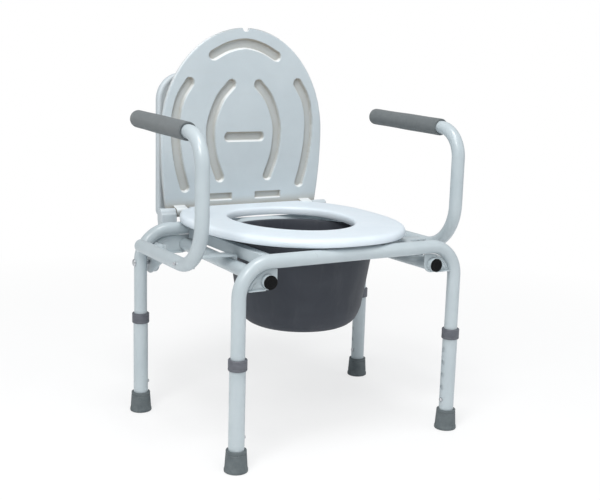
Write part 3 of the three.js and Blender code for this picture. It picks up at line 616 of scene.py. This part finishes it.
# ------------------------------------------------------------------ legs
for nm, s, x, y in (("front_left", -1, XF, -LY), ("front_right", 1, XF, -LY), ("rear_left", -1, XR, LY), ("rear_right", 1, XR, LY)):
    X = s * x
    o = tube(f"v_{nm}_leg_tube", [(X, y, 3.4), (X, y, 186)], [], LR, LI, 56)
    boolean(o, [rod((X, y, H0 + i * HP), (X - s * 22, y, H0 + i * HP), 4.5, 28) for i in range(5)], "DIFFERENCE")
    shade(o)
    finish_piece(o, f"{nm}_leg", PAINT, "powder_coat", f"{nm}_leg_tube")
    prof = [(13.3, 203.2), (13.3, 186.4), (14.75, 186.4), (14.75, 183.2), (15.7, 183.2), (16.4, 183.5), (16.85, 184.2), (16.9, 185.2), (16.9, 187.2),
            (16.5, 187.6), (16.5, 188.1), (16.8, 188.5), (16.8, 198.3), (16.5, 198.7), (16.5, 199.2), (16.9, 199.6), (16.9, 201.4), (16.6, 202.3), (15.9, 203.0), (15.2, 203.2)]
    finish_piece(lathe(f"v_{nm}_leg_collar", prof, 64, (X, y, 0)), f"{nm}_leg", COLLAR, "grey_collar", f"{nm}_leg_collar")
    # rubber ferrule with a rolled mouth, a flared base and ringed tread
    prof = [(0, 1.2), (5, 1.2), (5.4, 0), (8.6, 0), (9.0, 1.2), (12.0, 1.2), (12.4, 0), (15.6, 0), (16.0, 1.2), (18.0, 1.2), (18.4, 0), (20.2, 0), (21.0, 0.5), (21.4, 1.6),
            (21.35, 4.4), (21.0, 6.2), (20.4, 7.4), (20.25, 8.4), (20.1, 12), (19.7, 18), (19.3, 24), (18.9, 30), (18.75, 32.2), (18.2, 32.8), (18.1, 33.5),
            (18.55, 34.2), (18.5, 38.2), (18.1, 39.4), (17.2, 40), (15.4, 40), (14.85, 39.4), (14.85, 3.0), (0, 3.0)]
    finish_piece(lathe(f"v_{nm}_foot_tip", prof, 72, (X, y, 0)), f"{nm}_leg", RUBBER, "grey_rubber", f"{nm}_foot_tip")
    prof = fillet([(0, -4.6), (3.9, -4.6), (3.9, 4.2), (3.4, 5.6), (2.0, 6.6), (0, 6.8)], {1: 0.4, 2: 0.6, 3: 0.8, 4: 0.8}, 4)
    o = lathe(f"v_{nm}_snap_button", prof, 36, (X - s * 10.8, y, H0), (-s, 0, 0))
    xs = sorted((X - s * 6.0, X - s * 7.2))
    leaf = box("leaf", (xs[0], y - 3.2, H0 - 6), (xs[1], y + 3.2, H0 + 38))
    bevel(leaf, 0.35, 2)
    boolean(o, [leaf], "UNION")
    shade(o)
    finish_piece(o, f"{nm}_button", STEEL, "zinc_steel", f"{nm}_snap_button")

# ------------------------------------------------------------------ drop-down arms
for s, n in ((-1, "left"), (1, "right")):
    X = s * AX
    corners = [(X, 152, ALZ), (X, APY, ALZ), (X, APY, ATZ - 0.6), (X, GR_ - 4, ATZ + 6.5)]
    o = tube(f"v_{n}_arm_tube", corners, [90, 57], TR, TI, 56, 26)
    ear = [(100, ALZ + 7.8), (148, ALZ + 4.8)] + arc(PY, PZ, 22.5, 1.745, -2.18, 36) + [(104, 322), (97, 332)]
    xs = sorted((s * 242.2, s * 245.8))
    e = prism("ear", ear, xs[0], xs[1], "YZ")
    bevel(e, 1.0, 3, 30)
    boolean(o, [e, rod((s * 244, 118, 342), (s * 263.5, 118, 342), 9, 40)], "UNION")
    boolean(o, [rod((s * 236, PY, PZ), (s * 250, PY, PZ), 4.5), rod((s * (AX - 25), -41, ALZ + 3), (s * (AX + 25), -41, ALZ + 3), 3.2)], "DIFFERENCE")
    shade(o)
    finish_piece(o, f"{n}_arm", PAINT, "powder_coat", f"{n}_arm_tube")

    # foam grip, slightly uneven as pulled-on foam is
    slope = 7.1 / (GR_ - 4 - APY)
    za = lambda yy: ATZ - 0.6 + slope * (yy - APY)
    a, b = np.array([X, GF, za(GF)]), np.array([X, GR_, za(GR_)])
    L = float(np.linalg.norm(b - a))
    bore = TR + 0.45
    prof = [(0, L - 3.4), (bore - 1.2, L - 3.4), (bore, L - 4.4), (bore, 1.4), (bore + 0.8, 0.2), (GRIP - 1.8, 0.0), (GRIP - 0.6, 0.5), (GRIP - 0.1, 1.8)]
    for i in range(1, 40):
        prof.append((GRIP, 1.8 + (L - 8.0) * i / 40))
    prof += [(GRIP - 0.15, L - 4.6), (GRIP - 0.9, L - 2.2), (GRIP - 2.4, L - 0.7), (GRIP - 4.6, L - 0.1), (6, L), (0, L)]
    ph = 0.7 if s < 0 else 2.1
    wob = lambda ang, d, r: (0.0 if r < GRIP - 0.3 else -0.28 + 0.16 * math.sin(d * 0.055 + ph) + 0.10 * math.sin(2 * ang + d * 0.03 + ph))
    finish_piece(lathe(f"v_{n}_arm_grip", prof, 56, a, b - a, wob), f"{n}_arm", FOAM, "foam_grip", f"{n}_arm_grip")

    prof = fillet([(0, -21.6), (2.1, -21.6), (2.8, -20.8), (2.8, 16.2), (2.1, 17.0), (0, 17.2)], {1: 0.4, 2: 0.5, 3: 0.6, 4: 0.6}, 4)
    finish_piece(lathe(f"v_{n}_arm_release_button", prof, 36, (X, -41, ALZ + 3), (s, 0, 0)), f"{n}_arm_button", STEEL, "zinc_steel", f"{n}_arm_release_button")

    latch = [(256.6, 336), (256.6, 355.4), (255.0, 357), (173.4, 357), (172.3, 355.8), (172.3, 347.5), (174.9, 347.5), (174.9, 354.4), (253.8, 354.4), (253.8, 336)]
    o = prism(f"v_{n}_arm_latch_plate", [(s * p, q) for p, q in latch], -57, -26, "XZ")
    xs = sorted((s * 250.2, s * 260.2))
    boolean(o, [box("slot", (s * 255.2 - 5, -50, 335), (s * 255.2 + 5, -35.5, 352)),
                prism("corner", [(-60, 333), (-60, 353), (-57.4, 353), (-50.8, 337.5), (-50.8, 333)], xs[0], xs[1], "YZ")], "DIFFERENCE")
    bevel(o, 0.5, 2, 40)
    finish_piece(o, "frame", PAINT, "powder_coat", f"{n}_arm_latch_plate")

    prof = [(4.5, 0.3), (18.6, 0.3), (19.8, 0.7), (20.5, 1.7), (20.6, 3.0), (20.6, 8.6), (20.3, 10.0), (19.5, 10.9), (18.4, 11.2), (16.8, 11.2), (15.8, 10.9),
            (14.2, 9.5), (13.2, 8.8), (12.0, 8.6), (9.2, 8.6), (8.4, 9.0), (8.1, 10.0), (7.7, 13.2), (7.2, 13.8), (4.5, 13.8)]
    hx = 242.2
    finish_piece(lathe(f"v_{n}_arm_pivot_hub", prof, 72, (s * hx, PY, PZ), (-s, 0, 0)), "frame", PAINT, "powder_coat", f"{n}_arm_pivot_hub")
    prof = fillet([(0, -56), (3.6, -56), (4.0, -55.2), (4.0, 0), (7.2, 0), (7.2, 1.2), (5.6, 2.6), (0, 3.0)], {4: 0.3, 5: 0.9, 6: 1.6}, 5)
    finish_piece(lathe(f"v_{n}_arm_pivot_bolt", prof, 48, (s * (XR + TR + 0.3), PY, PZ), (s, 0, 0)), "frame", STEEL, "zinc_steel", f"{n}_arm_pivot_bolt")
    nx = hx - 13.8 - 0.3
    o = lathe(f"v_{n}_arm_pivot_nut", [(4.15, 0.3), (4.6, 0), (7.8, 0), (7.8, 4.8), (6.4, 6.2), (4.6, 6.2), (4.15, 5.9)], 6, (s * nx, PY, PZ), (-s, 0, 0))
    bevel(o, 0.4, 2, 30)
    finish_piece(o, "frame", STEEL, "zinc_steel", f"{n}_arm_pivot_nut")

    # angle strip the bucket hangs on
    sec = [(147.6, 368.2), (163.6, 368.2), (163.6, 349.6), (166.0, 349.6), (166.0, 370.8), (147.6, 370.8)]
    o = prism(f"v_{n}_bucket_support", [(s * p, q) for p, q in sec], -LY + TR + 0.3, LY - TR - 0.3, "XZ")
    bevel(o, 0.7, 3, 40)
    finish_piece(o, "frame", PAINT, "powder_coat", f"{n}_bucket_support")

# ------------------------------------------------------------------ bucket
wall = lambda z: 124.0 + 0.161 * (z - 248.6)
prof = [(0, 201.0), (60, 201.0), (78, 200.6), (84, 199.6), (90, 200.0), (97, 201.9), (103, 204.8), (108, 208.8), (112.2, 213.6), (115.6, 219.5), (117.9, 224.6), (119.8, 230.4)]
prof += [(wall(z), z) for z in (236, 245, 260, 280, 300, 320, 340, 355, 366)]
prof += [(wall(369.5) + 0.2, 369.5), (wall(371.2) + 1.2, 371.0), (149, 371.2), (153.4, 371.3), (154.3, 372.2), (154.5, 373.4), (154.5, 375.0), (154.0, 376.5), (152.8, 377.3), (150.5, 377.5),
         (143.2, 377.5), (142.0, 377.0), (141.4, 375.6)]
prof += [(wall(z) - 2.6, z) for z in (366, 350, 320, 290, 260, 240)]
prof += [(117.2, 231.0), (115.4, 225.2), (112.9, 220.0), (109.8, 215.4), (105.4, 210.9), (100.4, 207.2), (95.4, 205.0), (89, 203.3), (82, 202.9), (60, 203.4), (0, 203.4)]
o = lathe("v_bucket", prof, 128, (0, 8.0, 0))
finish_piece(o, "bucket", PAIL, "dark_bucket", "bucket")


# ------------------------------------------------------------------ seat ring
def loop_points(poly, n):
    """Resamples a closed polygon evenly with a smooth closed spline."""
    P = np.array(poly, float)
    m = len(P)
    fine = []
    for i in range(m):
        p0, p1, p2, p3 = P[i - 1], P[i], P[(i + 1) % m], P[(i + 2) % m]
        for k in range(12):
            t = k / 12
            fine.append(0.5 * ((2 * p1) + (-p0 + p2) * t + (2 * p0 - 5 * p1 + 4 * p2 - p3) * t * t + (-p0 + 3 * p1 - 3 * p2 + p3) * t ** 3))
    F = np.array(fine + [fine[0]])
    d = np.concatenate([[0], np.cumsum(np.linalg.norm(np.diff(F, axis=0), axis=1))])
    u = np.linspace(0, d[-1], n, endpoint=False)
    return np.stack([np.interp(u, d, F[:, 0]), np.interp(u, d, F[:, 1])], 1)


half = []
for i in range(0, 22):
    w = (pi / 2) * i / 21
    half.append((201 * math.sin(w) ** (2 / 2.4), 70 - 265 * math.cos(w) ** (2 / 2.4)))
half += [(199.5, 112), (191, 150), (179, 182), (167, 207), (155, 224), (144, 235), (134, 241), (126, 243)]
outline = half + [(-x, y) for x, y in reversed(half) if x > 1e-6]
centre = np.array([0.0, 45.0])
dense = loop_points(outline, 1440)
da = np.arctan2(dense[:, 1] - centre[1], dense[:, 0] - centre[0])
dr = np.hypot(dense[:, 0] - centre[0], dense[:, 1] - centre[1])
order = np.argsort(da)
da, dr = da[order], dr[order]
hole = []
for w in np.linspace(0, 2 * pi, 1440, endpoint=False):
    c_, s_ = math.cos(w), math.sin(w)
    e_ = 2 / 2.3 if s_ > 0 else 1.0
    hole.append((116 * math.copysign(abs(c_) ** e_, c_), 52 + (126 if s_ > 0 else -150) * abs(s_) ** e_))
hole = np.array(hole)
ha = np.arctan2(hole[:, 1] - centre[1], hole[:, 0] - centre[0])
hr = np.hypot(hole[:, 0] - centre[0], hole[:, 1] - centre[1])
order = np.argsort(ha)
ha, hr = ha[order], hr[order]
NA = 288
angs = np.linspace(-pi, pi, NA, endpoint=False) + 1e-4
RO = np.interp(angs, da, dr, period=2 * pi)
RI = np.interp(angs, ha, hr, period=2 * pi)
# section from the inner lower lip, up the hole wall, over the crowned top and down the outer rim, then back under the shell
sec = [("i", 0.6, S_BOT), ("i", 0.0, S_BOT + 0.7), ("i", 0.0, 390), ("i", 0.2, 393.4), ("i", 0.9, 396.0), ("i", 2.2, 397.9), ("i", 4.2, 399.1), ("i", 7.0, 399.7)]
for t in (0.14, 0.24, 0.36, 0.5, 0.64, 0.76, 0.86):
    sec.append(("t", t, 0))
sec += [("o", 8.6, 399.5), ("o", 5.6, 398.7), ("o", 3.2, 397.2), ("o", 1.5, 395.0), ("o", 0.5, 392.4), ("o", 0.0, 389.4), ("o", 0.2, 386.2), ("o", 0.8, S_BOT + 0.5), ("o", 1.6, S_BOT),
        ("o", 7.2, S_BOT), ("o", 7.8, S_BOT + 0.6), ("o", 8.0, 394.6), ("o", 9.2, 396.2), ("i", 9.2, 396.2), ("i", 6.6, 394.6), ("i", 6.4, S_BOT + 0.6), ("i", 5.8, S_BOT)]
rows = []
for kind, d, z in sec:
    for k in range(NA):
        ri, ro = RI[k], RO[k]
        if kind == "i":
            rr, zz = ri + d, z
        elif kind == "o":
            rr, zz = ro - d, z
        else:
            rr = ri + 7.0 + (ro - 8.6 - ri - 7.0) * d
            zz = 399.7 + 0.3 * math.sin(pi * d)
        rows.append((centre[0] + rr * math.cos(angs[k]), centre[1] + rr * math.sin(angs[k]), zz))
seat = new_obj("v_seat_ring", np.array(rows), grid_faces(len(sec), NA, True, True), 50)
adds = [rod((-131, HY, HZ), (131, HY, HZ), 9.5, 56)]
for bx, by in ((-62, 4 - LY), (62, 4 - LY), (-150, LY), (150, LY)):
    adds.append(rod((bx, by, S_BOT), (bx, by, 397.5), 9, 36))
boolean(seat, adds, "UNION")
cuts = [box("c", (s * 155.6 - 23, 222.4, 330), (s * 155.6 + 23, 262.4, 450)) for s in (-1, 1)]
cuts.append(rod((-210, HY, HZ), (210, HY, HZ), 4.3, 36))
boolean(seat, cuts, "DIFFERENCE")
shade(seat, 42)
finish_piece(seat, "seat", SEAT, "white_plastic", "seat_ring")
for nm, (bx, by) in zip(("front_left", "front_right", "rear_left", "rear_right"), ((-62, 4 - LY), (62, 4 - LY), (-150, LY), (150, LY))):
    prof = fillet([(0, 381.25), (6.2, 381.25), (7.2, 382.3), (7.2, 383.9), (0, 383.9)], {1: 0.6, 2: 0.5, 3: 0.2}, 4)
    finish_piece(lathe(f"v_{nm}_seat_bumper", prof, 40, (bx, by, 0)), "seat", RUBBER, "grey_rubber", f"{nm}_seat_bumper")

# ------------------------------------------------------------------ lid, raised, with moulded channels
LFY, LTH = 250.0, 9.5
LMX, LMZ, LTZ, LBZ = 190.0, 545.0, 766.0, 390.0


def lid_half(z):
    dz = z - LMZ
    b = LTZ - LMZ if dz > 0 else 432
    return LMX * math.sqrt(max(0.0, 1 - (dz / b) ** 2))


def spline(P, n=40):
    P = [np.array(p, float) for p in P]
    if len(P) == 2:
        return np.array([P[0] + (P[1] - P[0]) * k / n for k in range(n + 1)])
    Q = [2 * P[0] - P[1]] + P + [2 * P[-1] - P[-2]]
    out = []
    for i in range(1, len(Q) - 2):
        for k in range(n // (len(P) - 1) + 1):
            t = k / (n // (len(P) - 1) + 1)
            p0, p1, p2, p3 = Q[i - 1], Q[i], Q[i + 1], Q[i + 2]
            out.append(0.5 * ((2 * p1) + (-p0 + p2) * t + (2 * p0 - 5 * p1 + 4 * p2 - p3) * t * t + (-p0 + 3 * p1 - 3 * p2 + p3) * t ** 3))
    out.append(P[-1])
    return np.array(out)


channels = [(spline([(-74, 709), (-39, 726), (0, 733.5), (39, 726), (74, 709)]), 10.5), (spline([(-37, 541), (37, 541)]), 10.0)]
for s in (-1, 1):
    channels.append((spline([(s * 127.5, 653), (s * 147, 622), (s * 157, 583), (s * 157, 535), (s * 149, 482), (s * 137, 439)]), 10.5))
    channels.append((spline([(s * 32, 650), (s * 58, 620), (s * 76, 575), (s * 78.5, 540), (s * 72, 497), (s * 57, 457)]), 10.5))


def smooth(t):
    t = np.clip(t, 0, 1)
    return t * t * (3 - 2 * t)


zs = [LBZ]
n_low, n_up = 116, 160
for i in range(1, n_low + 1):
    zs.append(LBZ + (LMZ - LBZ) * i / n_low)
for i in range(1, n_up):
    zs.append(LMZ + (LTZ - LMZ) * math.sin((pi / 2) * i / n_up))
zs.append(LTZ - 0.012)
NC = 270
us = np.linspace(-1, 1, NC)
us = us * 0.93 + 0.07 * np.sign(us) * np.abs(us) ** 6
us = us / us.max()
X = np.array([[u * max(lid_half(z), 0.6) for u in us] for z in zs])
Z = np.array([[z] * NC for z in zs])
# round the lower corners in
low = np.clip((LBZ + 10 - Z) / 10, 0, 1)
X = X * (1 - 0.045 * low ** 2)
# distance in from the rim, taken on the outline itself
rim = []
for z in np.linspace(LBZ, LTZ, 700):
    rim.append((lid_half(z), z))
rim = np.array([(x, z) for x, z in rim] + [(-x, z) for x, z in rim])
flat = np.stack([X.ravel(), Z.ravel()], 1)
edge = np.full(len(flat), 1e9)
for i in range(0, len(rim), 2):
    edge = np.minimum(edge, np.hypot(flat[:, 0] - rim[i, 0], flat[:, 1] - rim[i, 1]))
edge = np.minimum(edge, flat[:, 1] - LBZ + 0.0)
depth = np.zeros(len(flat))
for line, r in channels:
    d = np.full(len(flat), 1e9)
    for p in line:
        d = np.minimum(d, np.hypot(flat[:, 0] - p[0], flat[:, 1] - p[1]))
    depth = np.maximum(depth, 6.9 * smooth((r + 0.7 - d) / 3.4))
    lipd = np.exp(-((d - (r + 2.2)) / 1.6) ** 2) * 0.35          # slight swell along the channel's lip
    depth = depth - lipd * (depth < 0.05)
for s in (-1, 1):
    # the two recesses over the hinge
    d = np.maximum(np.abs(flat[:, 0] - s * 59) - 31, np.abs(flat[:, 1] - 415.5) - 6.5)
    depth = np.maximum(depth, 5.6 * smooth((0.9 - d) / 2.4))
edge = edge.reshape(X.shape)
depth = depth.reshape(X.shape)
roll = 2.6 * (1 - np.sqrt(np.clip(1 - (1 - np.clip(edge / 3.2, 0, 1)) ** 2, 0, 1)))
front = LFY + depth + roll
front = np.maximum(front, LFY)
back = LFY + LTH - roll
nr = len(zs)
vf = np.stack([X, front, Z], 2).reshape(-1, 3)
vb = np.stack([X, back, Z], 2).reshape(-1, 3)
off = len(vf)
faces = grid_faces(nr, NC) + [tuple(off + i for i in reversed(q)) for q in grid_faces(nr, NC)]
ring = [j for j in range(NC)] + [i * NC + NC - 1 for i in range(1, nr)] + [(nr - 1) * NC + j for j in range(NC - 2, -1, -1)] + [i * NC for i in range(nr - 2, 0, -1)]
for k in range(len(ring)):
    a, b = ring[k], ring[(k + 1) % len(ring)]
    faces.append((a, off + a, off + b, b))
lid = new_obj("v_lid", np.vstack([vf, vb]), faces, 60)
cuts = []
notch = [(-11.5, LTZ + 6), (-8.8, LTZ - 0.4), (-7.8, LTZ - 3.2), (-6.2, LTZ - 5.7), (-3.6, LTZ - 7.5), (0, LTZ - 8.2), (3.6, LTZ - 7.5), (6.2, LTZ - 5.7), (7.8, LTZ - 3.2), (8.8, LTZ - 0.4), (11.5, LTZ + 6)]
cuts.append(prism("notch", notch, LFY - 5, LFY + LTH + 5, "XZ"))
boolean(lid, cuts, "DIFFERENCE")
lugs = []
for s in (-1, 1):
    lug = arc(HY, HZ, 9.4, pi * 0.5, pi * 1.5, 24) + [(LFY + 2, HZ - 1.8), (LFY + 2, HZ + 13)]
    xs = sorted((s * 137, s * 163))
    g = prism("lug", lug, xs[0], xs[1], "YZ")
    bevel(g, 0.8, 3, 40)
    lugs.append(g)
boolean(lid, lugs, "UNION")
boolean(lid, [rod((-210, HY, HZ), (210, HY, HZ), 4.3, 36)], "DIFFERENCE")
shade(lid, 50)
finish_piece(lid, "lid", LIDM, "white_plastic", "lid")

# ------------------------------------------------------------------ hinge blocks and rod
for s, n in ((-1, "left"), (1, "right")):
    shape = [(227, RZ - 3), (227, HZ - 2)] + arc(HY, HZ, 9.2, pi * 0.95, 0.05, 24) + [(249, HZ - 8), (249, RZ - 3)]
    xs = sorted((s * 164.6, s * 198))
    o = prism(f"v_{n}_hinge_block", shape, xs[0], xs[1], "YZ")
    bevel(o, 1.6, 3, 40)
    cuts = [rod((s * rail_x(200), 200, RZ), (s * rail_x(248), 248, RZ), TR + 0.5, 56), box("c", (s * rail_x(250) - 20, 245, RZ - 20), (s * rail_x(250) + 20, 265, RZ + 20)),
            rod((s * 150, HY, HZ), (s * 193.2, HY, HZ), 4.15, 36)]
    boolean(o, cuts, "DIFFERENCE")
    shade(o)
    finish_piece(o, "frame", SHELL, "white_plastic", f"{n}_hinge_block")
prof = fillet([(0, -192.8), (4.0, -192.8), (4.0, 192.8), (0, 192.8)], {1: 0.8, 2: 0.8}, 4)
finish_piece(lathe("v_hinge_rod", prof, 40, (0, HY, HZ), (1, 0, 0)), "frame", STEEL, "zinc_steel", "hinge_rod")

# ------------------------------------------------------------------ backrest panel: a rounded tray, ribbed behind
PF, PT, PH, PB, PTOP = 268.0, 14.0, 189.0, 373.5, 672.0


def panel_outline(inset=0.0):
    h, top, lo, r = PH - inset, PTOP - inset, PB + inset, 55 - inset
    rl = max(18 - inset, 3)
    return np.array(arc(h - rl, lo + rl, rl, -pi / 2, 0, 12) + arc(h - r, top - r, r, 0, pi / 2, 24) + arc(-h + r, top - r, r, pi / 2, pi, 24) + arc(-h + rl, lo + rl, rl, pi, 1.5 * pi, 12))


loops = [(40, 1.2), (22, 1.2), (14, 1.15), (10.5, 0.9), (8.6, 0.35), (7.0, 0.0), (4.4, 0.1), (2.6, 0.7), (1.2, 1.9), (0.35, 3.6), (0.0, 5.6), (0.0, 12.6), (0.5, 13.6), (1.2, 14.0),
         (2.4, 14.0), (3.0, 13.4), (3.2, 5.4), (4.2, 4.2), (8, 3.8), (20, 3.8), (40, 3.8)]
rows, m = [], None
for ins, d in loops:
    P = panel_outline(min(ins, 46))
    m = len(P)
    for p in P:
        rows.append((p[0], PF + d, p[1]))
f = grid_faces(len(loops), m, False, True)
f += [tuple(range(m)), tuple(range(len(rows) - 1, len(rows) - m - 1, -1))]
panel = new_obj("v_backrest_panel", np.array(rows), f, 45)
adds = []
for z in (395, 515, 638):
    r_ = box("rib", (-PH + 3.5 + (10 if z > 600 else 0), PF + 3.0, z - 1.2), (PH - 3.5 - (10 if z > 600 else 0), PF + 10.6, z + 1.2))
    adds.append(r_)
for s in (-1, 1):
    for z in (430, 600):
        adds.append(rod((s * RXR, PF + 2, z), (s * RXR, PF + PT, z), 7.4, 40))
boolean(panel, adds, "UNION")
boolean(panel, [rod((s * RXR, PF + 4.5, z), (s * RXR, PF + 30, z), 2.6, 24) for s in (-1, 1) for z in (430, 600)], "DIFFERENCE")
shade(panel, 45)
finish_piece(panel, "frame", SHELL, "white_plastic", "backrest_panel")
for s, n in ((-1, "left"), (1, "right")):
    for z, k in ((430, "low"), (600, "high")):
        prof = fillet([(0, -30.5), (2.2, -30.5), (2.2, 0), (5.2, 0), (5.2, 1.4), (3.6, 2.8), (1.7, 3.0), (1.7, 1.2), (0, 1.2)], {3: 0.2, 4: 0.8, 5: 0.8}, 4)
        finish_piece(lathe(f"v_{n}_backrest_screw_{k}", prof, 36, (s * RXR, BTY + TR + 0.3, z), (0, 1, 0)), "frame", STEEL, "zinc_steel", f"{n}_backrest_screw_{k}")

# ------------------------------------------------------------------ stage: pale floor, soft light, camera
yaw, pitch, roll, F = -0.54336, 0.19377, 0.02871, 1009.93
fw = Vector((-math.sin(yaw) * math.cos(pitch), math.cos(yaw) * math.cos(pitch), -math.sin(pitch)))
rt = Vector((math.cos(yaw), math.sin(yaw), 0))
up = rt.cross(fw)
r2 = math.cos(roll) * rt + math.sin(roll) * up
u2 = -math.sin(roll) * rt + math.cos(roll) * up
cam = bpy.data.cameras.new("cam")
cam.lens, cam.sensor_width, cam.sensor_fit = 36 * F / 600, 36, "HORIZONTAL"
cam.clip_end = 50
co = bpy.data.objects.new("camera", cam)
bpy.context.scene.collection.objects.link(co)
co.matrix_world = Matrix(((r2.x, u2.x, -fw.x, -1.0013582), (r2.y, u2.y, -fw.y, -1.64809766 + SHIFT_Y / 1000), (r2.z, u2.z, -fw.z, 0.72057463), (0, 0, 0, 1)))
bpy.context.scene.camera = co

fl = Nodes("pale_studio_paper")
fl.bump([(fl.noise(30, 3, 0.5), 0.0004, 0.1)])
floor_mat = fl.done(fl.mix(fl.remap(fl.noise(3, 2, 0.5), 0.3, 0.7, 0, 1), (0.90, 0.905, 0.91), (0.92, 0.925, 0.93)), 0.9, Specular_IOR_Level=0.0)
# seen from a distance the paper burns out to white, so no horizon shows
dist = fl.n("ShaderNodeVectorMath", operation="LENGTH")
fl.link(fl.n("ShaderNodeNewGeometry").outputs["Position"], dist.inputs[0])
far = fl.remap(dist.outputs["Value"], 0.5, 1.7, 0.68, 1.0)
seen = fl.math("MULTIPLY", far, fl.n("ShaderNodeLightPath").outputs["Is Camera Ray"])
em = fl.n("ShaderNodeEmission")
em.inputs["Color"].default_value = (1, 1, 1, 1)
em.inputs["Strength"].default_value = 1.0
mx = fl.n("ShaderNodeMixShader")
fl.link(seen, mx.inputs[0])
fl.link(fl.p.outputs[0], mx.inputs[1])
fl.link(em.outputs[0], mx.inputs[2])
fl.link(mx.outputs[0], fl.t.nodes["Material Output"].inputs["Surface"])
me = bpy.data.meshes.new("floor")
nf = 96
me.from_pydata([(14 * math.cos(2 * pi * i / nf), 14 * math.sin(2 * pi * i / nf), -0.0006) for i in range(nf)], [], [tuple(range(nf))])
floor = bpy.data.objects.new("floor", me)
bpy.context.scene.collection.objects.link(floor)
me.materials.append(floor_mat)

world = bpy.data.worlds.new("world")
bpy.context.scene.world = world
world.use_nodes = True
wt = world.node_tree
amb = wt.nodes["Background"]
amb.inputs[0].default_value = (0.955, 0.98, 1.0, 1)
amb.inputs[1].default_value = 0.50
seen_bg = wt.nodes.new("ShaderNodeBackground")
seen_bg.inputs[0].default_value = (1, 1, 1, 1)
seen_bg.inputs[1].default_value = 1.0
wm = wt.nodes.new("ShaderNodeMixShader")
wt.links.new(wt.nodes.new("ShaderNodeLightPath").outputs["Is Camera Ray"], wm.inputs[0])
wt.links.new(amb.outputs[0], wm.inputs[1])
wt.links.new(seen_bg.outputs[0], wm.inputs[2])
wt.links.new(wm.outputs[0], wt.nodes["World Output"].inputs["Surface"])


def area(name, loc, target, size, energy, color=(1, 1, 1)):
    L = bpy.data.lights.new(name, "AREA")
    L.shape, L.size, L.energy, L.color = "DISK", size, energy, color
    o = bpy.data.objects.new(name, L)
    bpy.context.scene.collection.objects.link(o)
    o.location = loc
    o.rotation_euler = (Vector(target) - Vector(loc)).to_track_quat("-Z", "Y").to_euler()
    return o


area("key", (-1.9, -1.6, 2.6), (0, 0, 0.4), 1.4, 50, (1, 0.99, 0.97))
area("fill", (2.2, -1.8, 1.3), (0, 0, 0.4), 2.2, 10, (0.96, 0.98, 1))
area("top", (-0.35, -0.75, 2.9), (0, 0.1, 0.4), 1.0, 34)
vs = bpy.context.scene.view_settings
vs.view_transform = "Standard"
vs.look = "None"
vs.exposure = 0.0
